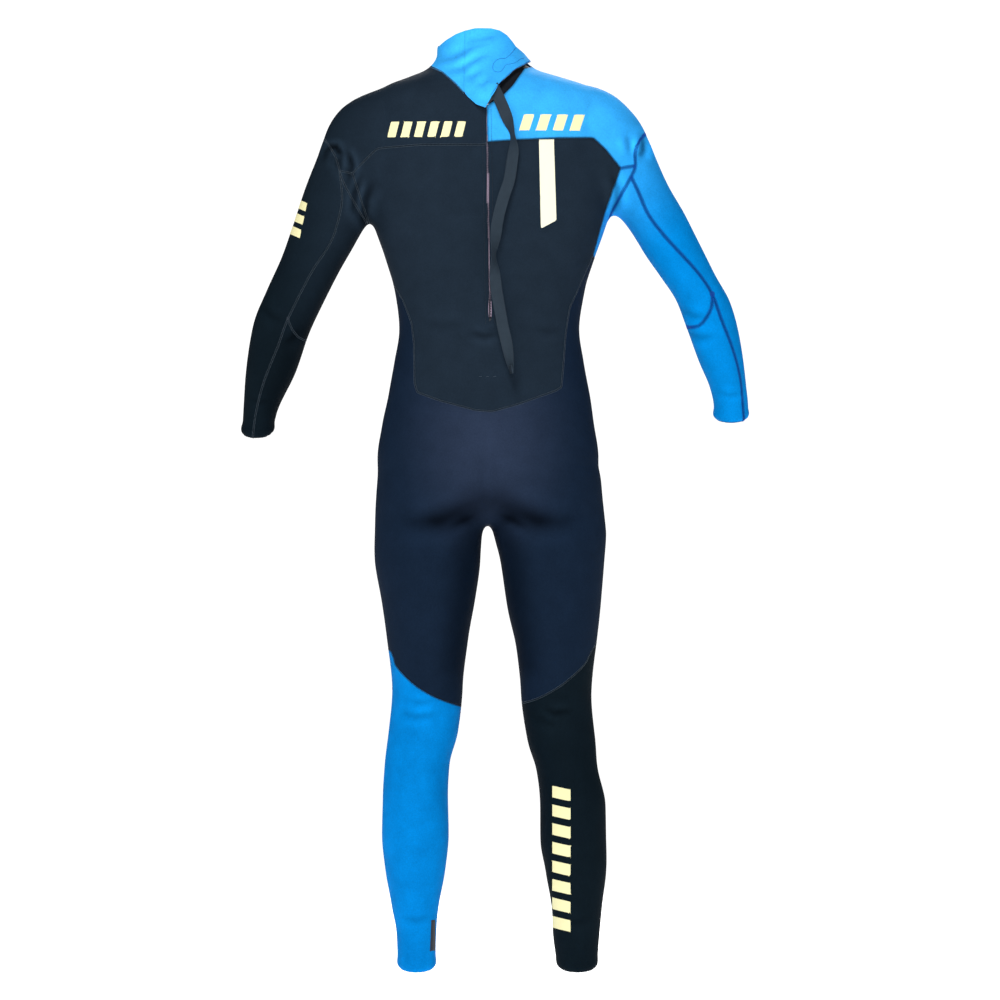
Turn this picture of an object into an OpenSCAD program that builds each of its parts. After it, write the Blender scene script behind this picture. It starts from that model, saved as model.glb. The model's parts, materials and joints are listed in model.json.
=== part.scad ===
// Full-length wetsuit with a back zip, worn shape, origin at the neck opening.
// The back faces -Y, the wearer's right is +X, +Z is up.

/* [Neoprene] */
// Thickness of the body panels
neoprene = 3; // [2.5:0.25:4]
// Gap between neighbouring panels at a seam
seam_gap = 0.4; // [0.3:0.1:0.8]
// Thickness of the printed marks
print_t = 0.4; // [0.3:0.1:0.6]

/* [Closure] */
// Width of the closed chain of teeth
chain_w = 5; // [4.5:0.5:6]
// Distance from one tooth to the next on one side
tooth_pitch = 4; // [3:0.5:5]
// Width of the webbing leash
leash_w = 18; // [14:1:20]
// Thickness of the webbing leash
leash_t = 1.2; // [1:0.1:1.6]
// Width of the puller
puller_w = 7; // [6:0.5:8]
// Thickness of the collar flap
flap_t = 2.6; // [2:0.2:3]

/* [Prints] */
// Width of the back stripe
stripe_w = 23; // [16:1:28]
// Length of the back stripe on its longer edge
stripe_l = 132; // [100:1:140]
// Share of a mark's pitch that each plain bar covers
bar_share = 0.62; // [0.4:0.02:0.7]

/* [Hidden] */

// Colours that several pieces share
BLACK = "#1c242e";
NAVY = "#1b263e";
BLUE = "#28a0f0";
SLEEVE_BLUE = "#0a8ce6";
CREAM = "#f5f1be";
TEETH = "#8a7890";
STOPS = "#6f6478";
TAPE = "#14181e";
RUBBER = "#161c26";

// Height of the neck opening, the origin, above the ankle hems
neck_z = 1420;
// Half depth of the cutting prisms, more than the suit's own
reach = 300;
// How far the hollow runs past each open end
run_out = 15;
// Corners of a trunk ring and of a limb ring
trunk_n = 36;
limb_n = 22;
// Places well outside the suit, for the outer corners of the areas
beside = 600;
above = 1600;
// Height at which the chest panel meets the yokes in front
chest_top = 1301;
// The halves of a panel that wraps round the side run this far past the middle plane
wrap = -0.02;
// Bonded bands inside the cuffs: height, thickness with its gap, and gap to the panel
hem_h = 14;
hem_depth = 1.2;
hem_gap = 0.3;
// Collar: place of the flap's seam, height of the flap over the neck, and depth of the inner panel
flap_seam_x = -37;
flap_lift = 10;
seal_in = neoprene + 0.4;
// Height of the prints over the panels
print_lift = 0.05;
back = -1;
front = 1;
left = -1;
right = 1;

// Trunk rings: height, centre x, half width, depth at the back, hollow of the spine, depth in front, power
TRUNK = [
    [700, 0, 110, 40, 2, 40, 2.2], [722, 0, 150, 72, 4, 66, 2.3], [750, 0, 170, 93, 6, 83, 2.4],
    [800, 0, 172, 104, 8, 91, 2.4], [850, 0, 165, 99, 6, 93, 2.4], [900, 2, 156, 93, 4, 92, 2.4],
    [950, 2, 147, 91, 3, 90, 2.4], [1000, 2, 140, 92.8, 2, 90, 2.4], [1060, 3, 148, 93.6, 2, 95, 2.4],
    [1110, 3, 163, 94.2, 4, 104, 2.5], [1180, 3, 186, 95, 7, 114, 2.6], [1240, 2, 192, 95.6, 8, 118, 2.6],
    [1300, 0, 190, 96.3, 7, 108, 2.5], [1342, 0, 186, 97, 4, 89, 2.4], [1362, 0, 178, 97, 1.5, 76, 2.3],
    [1378, -2, 156, 90, 0, 67, 2.2], [1392, -6, 116, 82, 0, 58, 2.1], [1404, -10, 84, 74, 0, 54, 2],
    [1420, -12, 68, 66, 0, 52, 2], [1440, -17, 61, 61, 0, 52, 2], [1490, -18, 56, 59, 0, 53, 2]];
// Sleeve rings: outer edge x and z, inner edge x and z, centre y, half depth
ARM_LEFT = [
    [-112, 1375, -112, 1285, -6, 46], [-150, 1376, -128, 1268, -8, 56], [-191, 1366, -148, 1238, -10, 62],
    [-222, 1348, -163, 1212, -10, 65], [-246, 1317, -174, 1188, -10, 64], [-264, 1270, -184, 1168, -10, 61],
    [-285, 1216, -197, 1146, -10, 56], [-303, 1161, -222, 1104, -11, 52], [-319, 1115, -238, 1075, -12, 49],
    [-344, 1060, -261, 1029, -11, 47], [-365, 1006, -278, 991, -8, 44], [-376, 936, -299, 931, 1, 39],
    [-381, 874, -328, 871, 14, 32], [-384, 829, -338, 829, 21, 30]];
ARM_RIGHT = [
    [112, 1378, 112, 1285, -6, 46], [152, 1379, 128, 1268, -8, 56], [193, 1366, 148, 1240, -10, 62],
    [217, 1345, 160, 1215, -10, 64], [238, 1317, 170, 1200, -10, 62], [256, 1277, 180, 1188, -10, 59],
    [281, 1222, 200, 1176, -10, 56], [306, 1178, 222, 1150, -11, 52], [330, 1130, 246, 1112, -12, 49],
    [353, 1084, 270, 1078, -12, 47], [376, 1042, 292, 1045, -10, 45], [388, 1000, 308, 1003, -7, 43],
    [397, 950, 327, 952, 0, 40], [402, 910, 345, 910, 8, 35], [405, 880, 351, 884, 14, 32],
    [403, 853, 353, 853, 20, 30]];
// Leg rings: centre x, centre y, height, half width, half depth
LEG_LEFT = [
    [-76, 0, 830, 56, 66], [-87, -4, 775, 84, 95], [-90, -5, 730, 86, 95], [-92, -6, 690, 84, 88],
    [-94, -4, 641, 82, 88], [-93, -2, 578, 73, 82], [-94, 0, 516, 63, 72], [-94, 2, 445, 55, 62],
        [-100, 1, 376, 54, 57],
    [-110, -5, 322, 50.5, 57], [-113, -10, 270, 51, 58], [-113, -12, 215, 52, 57], [-113, -12, 160, 47, 52],
    [-113, -10, 105, 37, 45], [-111, -7, 60, 31, 40], [-111, -5, 0, 29, 39]];
LEG_RIGHT = [
    [76, 0, 830, 56, 66], [89, -4, 775, 86, 95], [93, -5, 730, 87, 95], [95, -6, 690, 88.5, 88],
    [100, -4, 641, 81, 88], [103, -2, 563, 72, 80], [106, 0, 501, 62, 71], [106, 2, 435, 55, 61],
        [114, 1, 361, 53, 57],
    [123, -5, 314, 48, 57], [132, -10, 260, 51, 58], [133, -12, 205, 51, 57], [137, -12, 155, 47, 52],
    [138, -10, 100, 39, 45], [137, -7, 56, 36, 41], [139, -5, 0, 30, 39]];

// Seam lines as x and z, from seam to seam
YOKE_LEFT_HEM = [[-2, 1284], [-106, 1284], [-171, 1279], [-187, 1264], [-210, 1240], [-230, 1244]];
YOKE_RIGHT_HEM = [[-2, 1288], [44, 1291], [106, 1294], [163, 1295], [182, 1277], [205, 1248], [229, 1252]];
ARMHOLE_LEFT = [[-300, 1318], [-262, 1302], [-237, 1268], [-230, 1244], [-222, 1222], [-204, 1190],
    [-186, 1160]];
ARMHOLE_RIGHT = [[300, 1330], [262, 1315], [236, 1293], [228, 1270], [229, 1252], [222, 1235], [209, 1212],
    [192, 1180], [184, 1160]];
WING_LEFT = [[-210, 1240], [-187, 1170], [-169, 1107], [-132, 1043], [-119, 1009], [-115, 978], [-114, 916],
    [-110, 901]];
WING_RIGHT = [[114, 909], [117, 942], [121, 994], [127, 1032], [139, 1058], [163, 1112], [181, 1178],
    [194, 1218], [205, 1248]];
BACK_HEM = [[-75, 888], [-19, 873], [7, 871], [46, 882], [105, 903]];
SLEEVE_LEFT = [[-230, 1244], [-226, 1200], [-234, 1160], [-246, 1129], [-274, 1086], [-310, 1015],
    [-326, 972],
    [-348, 917], [-362, 862], [-368, 800]];
SLEEVE_RIGHT = [[222, 1235], [233, 1212], [249, 1176], [275, 1142], [299, 1116], [328, 1084], [348, 1053],
    [362, 1015], [381, 966], [392, 924], [396, 886], [401, 820]];
ELBOW_LEFT = [[-310, 1015], [-305, 998], [-288, 984], [-240, 975]];
ELBOW_RIGHT = [[348, 1053], [347, 1033], [333, 1009], [317, 1002], [280, 1008]];
KNEE_LEFT = [[-180, 520], [-151, 499], [-145, 479], [-127, 458], [-104, 440], [-75, 425], [-39, 413],
    [-20, 408]];
KNEE_RIGHT = [[20, 412], [51, 418], [79, 427], [110, 444], [134, 463], [152, 481], [162, 501], [190, 540]];
KNEE_DIP_LEFT = [[-180, 520], [-152, 450], [-132, 380], [-99, 348], [-66, 366], [-44, 392], [-20, 408]];
KNEE_DIP_RIGHT = [[20, 412], [58, 386], [80, 362], [112, 348], [145, 382], [160, 450], [190, 540]];
CHEST_HEM = [[-300, 1060], [-140, 1040], [-60, 1004], [0, 996], [60, 1004], [140, 1040], [300, 1060]];
NECK_LEFT = [[-105, 1414], [-90, 1408], [-71, 1398], [-51, 1380], [-32, 1359], [-18, 1346], [-4, 1341]];
FLAP_EDGE = [[-4, 1341], [5, 1358], [19, 1377], [39, 1396], [65, 1413]];
NECK_RIGHT = [[-2, 1345], [22, 1359], [39, 1377], [57, 1404], [68, 1408], [84, 1412]];
NECK_FRONT = [[-105, 1414], [-84, 1404], [-50, 1376], [-10, 1362], [30, 1376], [62, 1402], [84, 1412]];
RIM_FRONT = [[-110, 1432], [-79, 1440], [-18, 1436], [40, 1436], [66, 1432], [90, 1420]];
RIM = [[-100, 1430], [-79, 1442], [-44, 1465], [3, 1468], [26, 1457], [39, 1437], [52, 1425], [80, 1416]];

// Zip: its straight line from the top stop to the bottom stop
zip_top = [-2.5, -95.5, 1362];
zip_end = [3.5, -91.6, 1012];
zip_len = norm(zip_end - zip_top);
zip_dir = (zip_end - zip_top) / zip_len;
// Slider: place of its middle below the top, length, width and corner radius, and the post between its plates
slider_at = 9;
slider_l = 15;
slider_w = 10;
slider_r = 2;
post_w = 2;
post_l = 4;
// Gap between the back panel's edges over the chain
slot_w = chain_w + 1.6;
// Chain of teeth: its outer face and thickness, inward from the zip's line, and its first tooth
chain_y = 0.7;
chain_t = 2.4;
chain_start = slider_at + post_l / 2 + 1;
// Tapes beside the chain and the backing panel inside it
tape_w = 13;
tape_t = 0.6;
tape_y = 2.3;
backing_y = 5.4;
backing_t = 1.5;

// Leash: its middle line from the puller's end to the tip
LEASH = [
    [14, -102, 1362], [18, -102.5, 1354], [24, -103, 1340], [31, -105, 1322], [37, -108, 1304],
    [40, -107, 1281], [37, -105, 1255], [33, -105.5, 1229], [25, -107, 1205], [18, -108.5, 1180],
    [14, -110, 1160], [12, -111, 1142], [10, -112, 1126], [9, -112.5, 1111], [10, -113, 1090],
    [12, -113.5, 1070], [14, -114, 1054], [17, -114.5, 1037], [20, -115, 1020], [23, -115, 1003],
    [27, -115, 986], [30, -115, 972], [33, -115, 954], [35, -115, 942], [37, -115, 930]];
// Puller: its ends at the slider's bail and at the leash, its thickness and its hole
puller_root = [-1, -100.2, 1350];
puller_tip = [14, -100.2, 1364];
puller_t = 1.4;
puller_hole_r = 1.5;
// Sewn fold at the leash's tip: its length and its lean
fold_l = 13;
fold_lean = -11;

// Sign-keeping power
function spow(v, e) = sign(v) * pow(abs(v), e);

// Points of one trunk ring grown outward by g
function trunk_ring(s, g, lift) = [for (i = [0:trunk_n - 1])
    let (a = 360 * i / trunk_n, u = spow(cos(a), 2 / s[6]), v = spow(sin(a), 2 / s[6]),
        hollow = s[4] * (1 - exp(-pow(s[2] * u / 42, 2))))
    [s[1] + (s[2] + g) * u, v > 0 ? (s[5] + g) * v : (s[3] + hollow + g) * v, s[0] + lift]];

// Closed solid through a list of rings that all have the same number of points
module loft(rings) {
    n = len(rings[0]);
    m = len(rings);
    sides = [for (i = [0:m - 2], j = [0:n - 1])
        [i * n + j, i * n + (j + 1) % n, (i + 1) * n + (j + 1) % n, (i + 1) * n + j]];
    caps = [[for (j = [n - 1:-1:0]) j], [for (j = [0:n - 1]) (m - 1) * n + j]];
    polyhedron([for (r = rings) each r], [for (f = concat(sides, caps)) [for (k = [len(f) - 1:-1:0]) f[k]]],
        convexity = 10);
}

// Upward share of the trunk's outward direction at ring i
function trunk_rise(i) = i < 1 || i > len(TRUNK) - 2 ? 0 :
    let (dw = TRUNK[i + 1][2] - TRUNK[i - 1][2], dz = TRUNK[i + 1][0] - TRUNK[i - 1][0]) -dw / norm([dw, dz]);

module trunk_form(g) {
    loft([for (i = [0:len(TRUNK) - 1]) trunk_ring(TRUNK[i], g, g * trunk_rise(i))]);
}

// One ring of a sleeve, from its outer edge to its inner edge
function sleeve_ring(s, g, drop) = let (w = [s[0] - s[2], 0, s[1] - s[3]], u = w / norm(w),
    c = [(s[0] + s[2]) / 2, s[4], (s[1] + s[3]) / 2 - drop], turn = s[0] < 0 ? 1 : -1)
    [for (k = [0:limb_n - 1]) let (a = turn * 360 * k / limb_n)
        c + (norm(w) / 2 + g) * cos(a) * u + (s[5] + g) * sin(a) * [0, 1, 0]];

// A sleeve, run on past its open end by extra
module sleeve_form(p, g, extra) {
    rings = [for (s = p) sleeve_ring(s, g, 0)];
    loft(extra > 0 ? concat(rings, [sleeve_ring(p[len(p) - 1], g, extra)]) : rings);
}

// One level ring of a leg
function leg_ring(s, g, drop) = [for (k = [0:limb_n - 1]) let (a = -360 * k / limb_n)
    [s[0] + (s[3] + g) * cos(a), s[1] + (s[4] + g) * sin(a), s[2] - drop]];

module leg_form(p, g, extra) {
    rings = [for (s = p) leg_ring(s, g, 0)];
    loft(extra > 0 ? concat(rings, [leg_ring(p[len(p) - 1], g, extra)]) : rings);
}

// The whole body form grown outward by g
module form(g, extra = 0) {
    trunk_form(g);
    sleeve_form(ARM_LEFT, g, extra);
    sleeve_form(ARM_RIGHT, g, extra);
    leg_form(LEG_LEFT, g, extra);
    leg_form(LEG_RIGHT, g, extra);
}

// Layer of the suit between two offsets of the body form
module layer(inner, outer) {
    difference() {
        form(outer, 0);
        form(inner, run_out);
    }
}

// Prism of an outline in x and z over the back or the front half, shrunk by half a seam gap.
// It stops short of the middle plane by the margin, or runs past it when that is negative.
module half(side, margin = seam_gap / 2) {
    translate([0, side == back ? -margin : reach, 0]) rotate([90, 0, 0])
        linear_extrude(reach - margin) offset(delta = -seam_gap / 2) children();
}

// Moves hem-based heights to the origin at the neck, as one smooth shell
module piece() {
    translate([0, 0, -neck_z]) minkowski() {
        children();
    }
}

// A panel that wraps round the side: child 0 is its outline behind, child 1 its outline in front
module panel(inner = -neoprene, outer = 0) {
    piece() intersection() {
        layer(inner, outer);
        union() {
            half(back, wrap) children(0);
            half(front, wrap) children($children - 1);
        }
    }
}

// A panel that lies on the back or the front alone
module face_panel(side, inner = -neoprene, outer = 0) {
    piece() intersection() {
        layer(inner, outer);
        half(side) children();
    }
}

function flip(list) = [for (i = [len(list) - 1:-1:0]) list[i]];
function part(list, a, b) = [for (i = [a:b]) list[i]];

// Areas of the suit as outlines in x and z
module arm_area(side) {
    if (side == left) polygon(concat(ARMHOLE_LEFT, [[-186, 600], [-beside, 600], [-beside, 1318]]));
    else polygon(concat(ARMHOLE_RIGHT, [[184, 600], [beside, 600], [beside, 1330]]));
}

module neck_area_back() polygon(concat(NECK_LEFT, NECK_RIGHT, [[84, above], [-105, above]]));

module neck_area_front() polygon(concat(NECK_FRONT, [[84, above], [-105, above]]));

module slot_area() polygon([[zip_top[0] - slot_w / 2, 1500], [zip_top[0] - slot_w / 2, zip_top[2]],
    [zip_end[0] - slot_w / 2, zip_end[2] - 4], [zip_end[0], zip_end[2] - 12],
    [zip_end[0] + slot_w / 2, zip_end[2] - 4], [zip_top[0] + slot_w / 2, zip_top[2]],
    [zip_top[0] + slot_w / 2, 1500]]);

module side_area(side) translate([side == left ? -beside : 0, 0]) square([beside, above]);

module above_yoke_hem(side) {
    if (side == left) polygon(concat(YOKE_LEFT_HEM, [[-beside, 1244], [-beside, above], [-2, above]]));
    else polygon(concat(YOKE_RIGHT_HEM, [[beside, 1252], [beside, above], [-2, above]]));
}

module back_area() polygon(concat(part(YOKE_LEFT_HEM, 0, 4), part(WING_LEFT, 1, 7), BACK_HEM, WING_RIGHT,
    flip(part(YOKE_RIGHT_HEM, 0, 4))));

module underarm_area(side) difference() {
    polygon(side == left ? concat(part(WING_LEFT, 0, 2), [[-190, 1085], [-260, 1150], [-260, 1248],
        [-230, 1244]]) :
        concat(part(WING_RIGHT, 5, 8), [[229, 1252], [260, 1256], [260, 1150], [190, 1085]]));
    arm_area(side);
    above_yoke_hem(side);
}

// Below the knee seams, which dip under the knee pads in front
module shin_area_back(side) {
    if (side == left) polygon(concat(KNEE_LEFT, [[-3, 408], [-3, -50], [-220, -50], [-220, 520]]));
    else polygon(concat(KNEE_RIGHT, [[220, 540], [220, -50], [3, -50], [3, 412]]));
}

module shin_area_front(side) {
    if (side == left) polygon(concat(KNEE_DIP_LEFT, [[-3, 408], [-3, -50], [-220, -50], [-220, 520]]));
    else polygon(concat(KNEE_DIP_RIGHT, [[220, 540], [220, -50], [3, -50], [3, 412]]));
}

module knee_pad_area(side) {
    knee = side == left ? [-97, 428] : [109, 430];
    hull() {
        translate(knee + [0, 42]) circle(34, $fn = 24);
        translate(knee - [0, 32]) circle(28, $fn = 24);
    }
}

module chest_area() polygon(concat(CHEST_HEM, [[300, chest_top], [-300, chest_top]]));

module back_panel() color(BLACK) face_panel(back) difference() {
    back_area();
    slot_area();
}

module yoke(side) panel() {
    intersection() {
        side_area(side);
        difference() {
            above_yoke_hem(side);
            arm_area(side);
            neck_area_back();
            slot_area();
        }
    }
    intersection() {
        side_area(side);
        difference() {
            translate([-beside, chest_top]) square([2 * beside, 300]);
            arm_area(side);
            neck_area_front();
        }
    }
}

module yoke_left() color(BLACK) yoke(left);
module yoke_right() color(BLUE) yoke(right);

module chest_panel() color(BLACK) face_panel(front) difference() {
    chest_area();
    for (side = [left, right]) {
        arm_area(side);
        underarm_area(side);
    }
}

module front_panel() color(NAVY) face_panel(front) difference() {
    translate([-300, 200]) square([600, 900]);
    chest_area();
    for (side = [left, right]) {
        arm_area(side);
        underarm_area(side);
        shin_area_front(side);
        knee_pad_area(side);
    }
}

module seat_panel() color(NAVY) face_panel(back) difference() {
    translate([-300, 200]) square([600, 920]);
    back_area();
    for (side = [left, right]) {
        arm_area(side);
        underarm_area(side);
        shin_area_back(side);
    }
}

module underarm(side) panel() {
    difference() {
        underarm_area(side);
        back_area();
    }
    underarm_area(side);
}

module underarm_left() color(BLACK) underarm(left);
module underarm_right() color(BLUE) underarm(right);

// A sleeve area: the outer piece, or the inner one above or below the elbow seam
module sleeve_seam_area(side) {
    if (side == left) polygon(concat([[-230, 1400]], SLEEVE_LEFT, [[-beside, 800], [-beside, 1400]]));
    else polygon(concat([[222, 1400]], SLEEVE_RIGHT, [[beside, 820], [beside, 1400]]));
}

module forearm_area(side) {
    if (side == left) polygon(concat(ELBOW_LEFT, [[-200, 975], [-200, 700], [-420, 700], [-420, 1015]]));
    else polygon(concat(ELBOW_RIGHT, [[200, 1008], [200, 700], [420, 700], [420, 1053]]));
}

module sleeve_outer(side) panel() intersection() {
    arm_area(side);
    sleeve_seam_area(side);
}

module sleeve_under(side) panel() difference() {
    arm_area(side);
    sleeve_seam_area(side);
    forearm_area(side);
}

module forearm_under(side) panel() intersection() {
    forearm_area(side);
    difference() {
        arm_area(side);
        sleeve_seam_area(side);
    }
}

module sleeve_outer_left() color(BLACK) sleeve_outer(left);
module sleeve_outer_right() color(SLEEVE_BLUE) sleeve_outer(right);
module sleeve_under_left() color(BLACK) sleeve_under(left);
module sleeve_under_right() color(SLEEVE_BLUE) sleeve_under(right);
module forearm_under_left() color(BLACK) forearm_under(left);
module forearm_under_right() color(SLEEVE_BLUE) forearm_under(right);

module lower_leg(side) panel() {
    shin_area_back(side);
    difference() {
        shin_area_front(side);
        knee_pad_area(side);
    }
}

module lower_leg_left() color("#0078d7") lower_leg(left);
module lower_leg_right() color(BLACK) lower_leg(right);

module knee_pad(side) face_panel(front, outer = 1) offset(delta = -0.2) knee_pad_area(side);

module knee_pad_left() color(RUBBER) knee_pad(left);
module knee_pad_right() color(RUBBER) knee_pad(right);

// Bonded bands inside the cuffs
module wrist_hem(side) panel(inner = -neoprene - hem_depth, outer = -neoprene - hem_gap) wrist_band(side);

module wrist_band(side) {
    wrist = side == left ? [-362, 830] : [378, 854];
    translate(wrist) translate([-60, 0]) square([120, hem_h]);
}

module wrist_hem_left() color("#101620") wrist_hem(left);
module wrist_hem_right() color("#0a64c8") wrist_hem(right);

module ankle_hem(side) panel(inner = -neoprene - hem_depth, outer = -neoprene - hem_gap)
    translate([side == left ? -180 : 80, 0.5]) square([100, hem_h]);

module ankle_hem_left() color("#0a5ab4") ankle_hem(left);
module ankle_hem_right() color("#101620") ankle_hem(right);

// The collar is open behind, from its flap's seam to its right end under the flap
module collar() color(BLUE) panel() {
    difference() {
        polygon(concat(NECK_LEFT, [[flap_seam_x, 1359]], [[flap_seam_x, 1464]], flip(part(RIM, 0, 2))));
        translate([flap_seam_x, 1300]) square(200);
    }
    difference() {
        neck_area_front();
        polygon(concat(RIM_FRONT, [[90, above + 100], [-110, above + 100]]));
    }
}

module flap_area() polygon(concat([[flap_seam_x, 1462]], part(RIM, 3, 6), [[65, 1413]], flip(FLAP_EDGE),
    [[-18, 1346], [-32, 1359], [flap_seam_x, 1366]]));

module collar_flap() color("#32aafa") face_panel(back, flap_lift, flap_lift + flap_t) flap_area();

// Black inner panel that closes the neck under the flap
module neck_seal() color("#10141a") face_panel(back, -seal_in - neoprene, -seal_in) difference() {
    polygon([[-34, 1362], [-34, 1440], [62, 1432], [66, 1380], [24, 1346]]);
    translate([-24, 1300]) square([44, 78]);
}

// Hook half on the inside of the flap, loop half on the neck seal
module patch_area() hull() {
    translate([18, 1406]) circle(9, $fn = 24);
    translate([44, 1424]) circle(8, $fn = 24);
}

module hook_patch() color("#0f5ab0") face_panel(back, flap_lift - 1, flap_lift - 0.1) patch_area();

module loop_patch() color("#20242c") face_panel(back, -neoprene - 0.3, -neoprene + 0.7) patch_area();

// The zip's own frame: x across it, y inward, z up its line, from a place s below its top
module on_zip(s) {
    up = -zip_dir;
    across = ([1, 0, 0] - up[0] * up) / norm([1, 0, 0] - up[0] * up);
    inward = cross(up, across);
    at = zip_top + s * zip_dir - [0, 0, neck_z];
    multmatrix([
        [across[0], inward[0], up[0], at[0]],
        [across[1], inward[1], up[1], at[1]],
        [across[2], inward[2], up[2], at[2]],
        [0, 0, 0, 1]]) children();
}

module box_at(x0, x1, y0, y1, z0, z1) translate([x0, y0, z0]) cube([x1 - x0, y1 - y0, z1 - z0]);

// Comb of moulded teeth on a bead, on the left when side is -1
module teeth_row(side) {
    n = floor((zip_len - chain_start - 4) / tooth_pitch);
    tooth_l = tooth_pitch / 2 - 0.5;
    first = side == left ? 0 : tooth_pitch / 2;
    edge = chain_w / 2;
    root = edge - 0.9;
    comb = concat([[edge, 0], [edge, n * tooth_pitch + 1]], [[root, n * tooth_pitch + 1]],
        [for (i = [n - 1:-1:0]) let (z = first + i * tooth_pitch)
            each [[root, z + tooth_l + 0.2], [-0.7, z + tooth_l], [-0.7, z + 0.2], [root, z]]], [[root, -0.2],
            [edge, -0.2]]);
    on_zip(chain_start + n * tooth_pitch + 1) scale([side, 1, 1]) translate([0, chain_y + chain_t, 0])
        rotate([90, 0, 0]) linear_extrude(chain_t) polygon(comb);
}

module zip_teeth_left() color(TEETH) teeth_row(left);
module zip_teeth_right() color(TEETH) teeth_row(right);

module zip_tape(side) on_zip(zip_len + 8) {
    x = chain_w / 2 + 0.1;
    scale([side, 1, 1]) box_at(x, x + tape_w, tape_y, tape_y + tape_t, 0, zip_len);
}

module zip_tape_left() color(TAPE) zip_tape(left);
module zip_tape_right() color(TAPE) zip_tape(right);

module zip_top_stops() color(STOPS) on_zip(3) for (side = [left, right])
    scale([side, 1, 1]) box_at(post_w / 2 + 0.4, chain_w / 2, chain_y, chain_y + chain_t, -1.5, 1.5);

module zip_bottom_stop() color(STOPS) on_zip(zip_len - 1.5)
    box_at(-chain_w / 2, chain_w / 2, chain_y, chain_y + chain_t, -2.5, 1.5);

// Backing panel inside the zip
module zip_backing() color("#141a22") on_zip(zip_len + 12)
    box_at(-22, 24, backing_y, backing_y + backing_t, 0, zip_len - 6);

// Slider: outer and inner plates joined by the wedge post between the rows
module zip_slider() color("#5c6068") on_zip(slider_at + slider_l / 2) {
    rounded_plate(slider_w, slider_l, -3.7, -2.4);
    rounded_plate(slider_w - 2, slider_l - 2, 3.5, 4.7);
    box_at(-post_w / 2, post_w / 2, -2.4, 3.6, slider_l / 2 - post_l / 2, slider_l / 2 + post_l / 2);
}

module rounded_plate(w, l, y0, y1) translate([0, y1, slider_l / 2 - l / 2]) rotate([90, 0, 0])
    linear_extrude(y1 - y0) hull() for (x = [-w / 2 + slider_r, w / 2 - slider_r],
        z = [slider_r, l - slider_r])
        translate([x, z]) circle(slider_r, $fn = 24);

// Puller: a flat tab from the slider's bail to the leash
module zip_puller() color("#2a2e36") translate([0, 0, -neck_z]) {
    d = puller_tip - puller_root;
    translate(puller_root + [0, puller_t / 2, 0]) rotate([90, 0, 0]) linear_extrude(puller_t)
        rotate(atan2(d[2], d[0])) difference() {
            hull() {
                circle(puller_w / 2, $fn = 32);
                translate([norm(d), 0]) circle(puller_w / 2, $fn = 32);
            }
            circle(puller_hole_r, $fn = 32);
        }
}

// Flat webbing swept along the leash's route
function leash_dir(i) = let (d = LEASH[min(i + 1, len(LEASH) - 1)] - LEASH[max(i - 1, 0)]) d / norm(d);
function leash_ring(i) = let (d = leash_dir(i), y = [0, 1, 0] - d[1] * d, n = y / norm(y), w = cross(n, d),
    a = leash_w / 2, b = leash_t / 2)
    [for (c = [[1, -0.4], [1, 0.4], [0.9, 1], [-0.9, 1], [-1, 0.4], [-1, -0.4], [-0.9, -1], [0.9, -1]])
        LEASH[i] + a * c[0] * w + b * c[1] * n];

module leash() color("#2d343e") translate([0, 0, -neck_z])
    loft([for (i = [0:len(LEASH) - 1]) leash_ring(i)]);

// Sewn fold at the tip of the leash
module leash_end() color("#353c47") translate([0, 0, -neck_z]) {
    last = LEASH[len(LEASH) - 1];
    translate(last + [0.3, 0, -0.3]) rotate([0, fold_lean, 0]) translate([-leash_w / 2, -leash_t, -fold_l])
        cube([leash_w, 2 * leash_t, fold_l]);
}

// Thin prints on the panels
module print_layer() face_panel(back, print_lift, print_lift + print_t) children();

module back_stripe() color(CREAM) print_layer() polygon([[79, 1292], [79 + stripe_w, 1292],
    [79 + stripe_w + 4, 1292 - stripe_l + 7], [82, 1292 - stripe_l - 6]]);

// A row of plain slanted bars
module bars(n, w, h, slant) for (i = [0:n - 1])
    translate([i * w / n, 0]) polygon([[0, 0], [w / n * bar_share, 0], [w / n * bar_share + slant, h],
        [slant, h]]);

module back_mark_left() color(CREAM) print_layer() translate([-156, 1296]) bars(6, 124, 24, 6);
module back_mark_right() color(CREAM) print_layer() translate([48, 1306]) bars(4, 104, 25, 8);
module sleeve_mark() color(CREAM) print_layer() translate([-292, 1140]) rotate(78) bars(3, 64, 22, 5);
module calf_mark() color(CREAM) print_layer() translate([128, 64]) rotate(90) bars(8, 232, 28, 6);
module ankle_mark() color("#10161e") print_layer() polygon([[-90, 34], [-82, 34], [-82, 82], [-88, 82]]);

// Bonded reinforcement spots on the sleeve seams at the elbows
module elbow_spots() color("#0a3c8c") print_layer() {
    translate([348, 1053]) circle(5, $fn = 24);
    translate([-310, 1015]) circle(4, $fn = 24);
}

back_panel();
yoke_left();
yoke_right();
chest_panel();
front_panel();
seat_panel();
underarm_left();
underarm_right();
sleeve_outer_left();
sleeve_outer_right();
sleeve_under_left();
sleeve_under_right();
forearm_under_left();
forearm_under_right();
lower_leg_left();
lower_leg_right();
knee_pad_left();
knee_pad_right();
wrist_hem_left();
wrist_hem_right();
ankle_hem_left();
ankle_hem_right();
collar();
collar_flap();
neck_seal();
hook_patch();
loop_patch();
zip_backing();
zip_tape_left();
zip_tape_right();
zip_teeth_left();
zip_teeth_right();
zip_top_stops();
zip_bottom_stop();
zip_slider();
zip_puller();
leash();
leash_end();
back_stripe();
back_mark_left();
back_mark_right();
sleeve_mark();
calf_mark();
ankle_mark();
elbow_spots();
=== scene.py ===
"""Full wetsuit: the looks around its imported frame. The back faces -Y, +X is the wearer's right."""
import json
import math

import bpy
import numpy as np
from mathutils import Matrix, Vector
from mathutils.bvhtree import BVHTree
from mathutils.kdtree import KDTree

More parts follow.
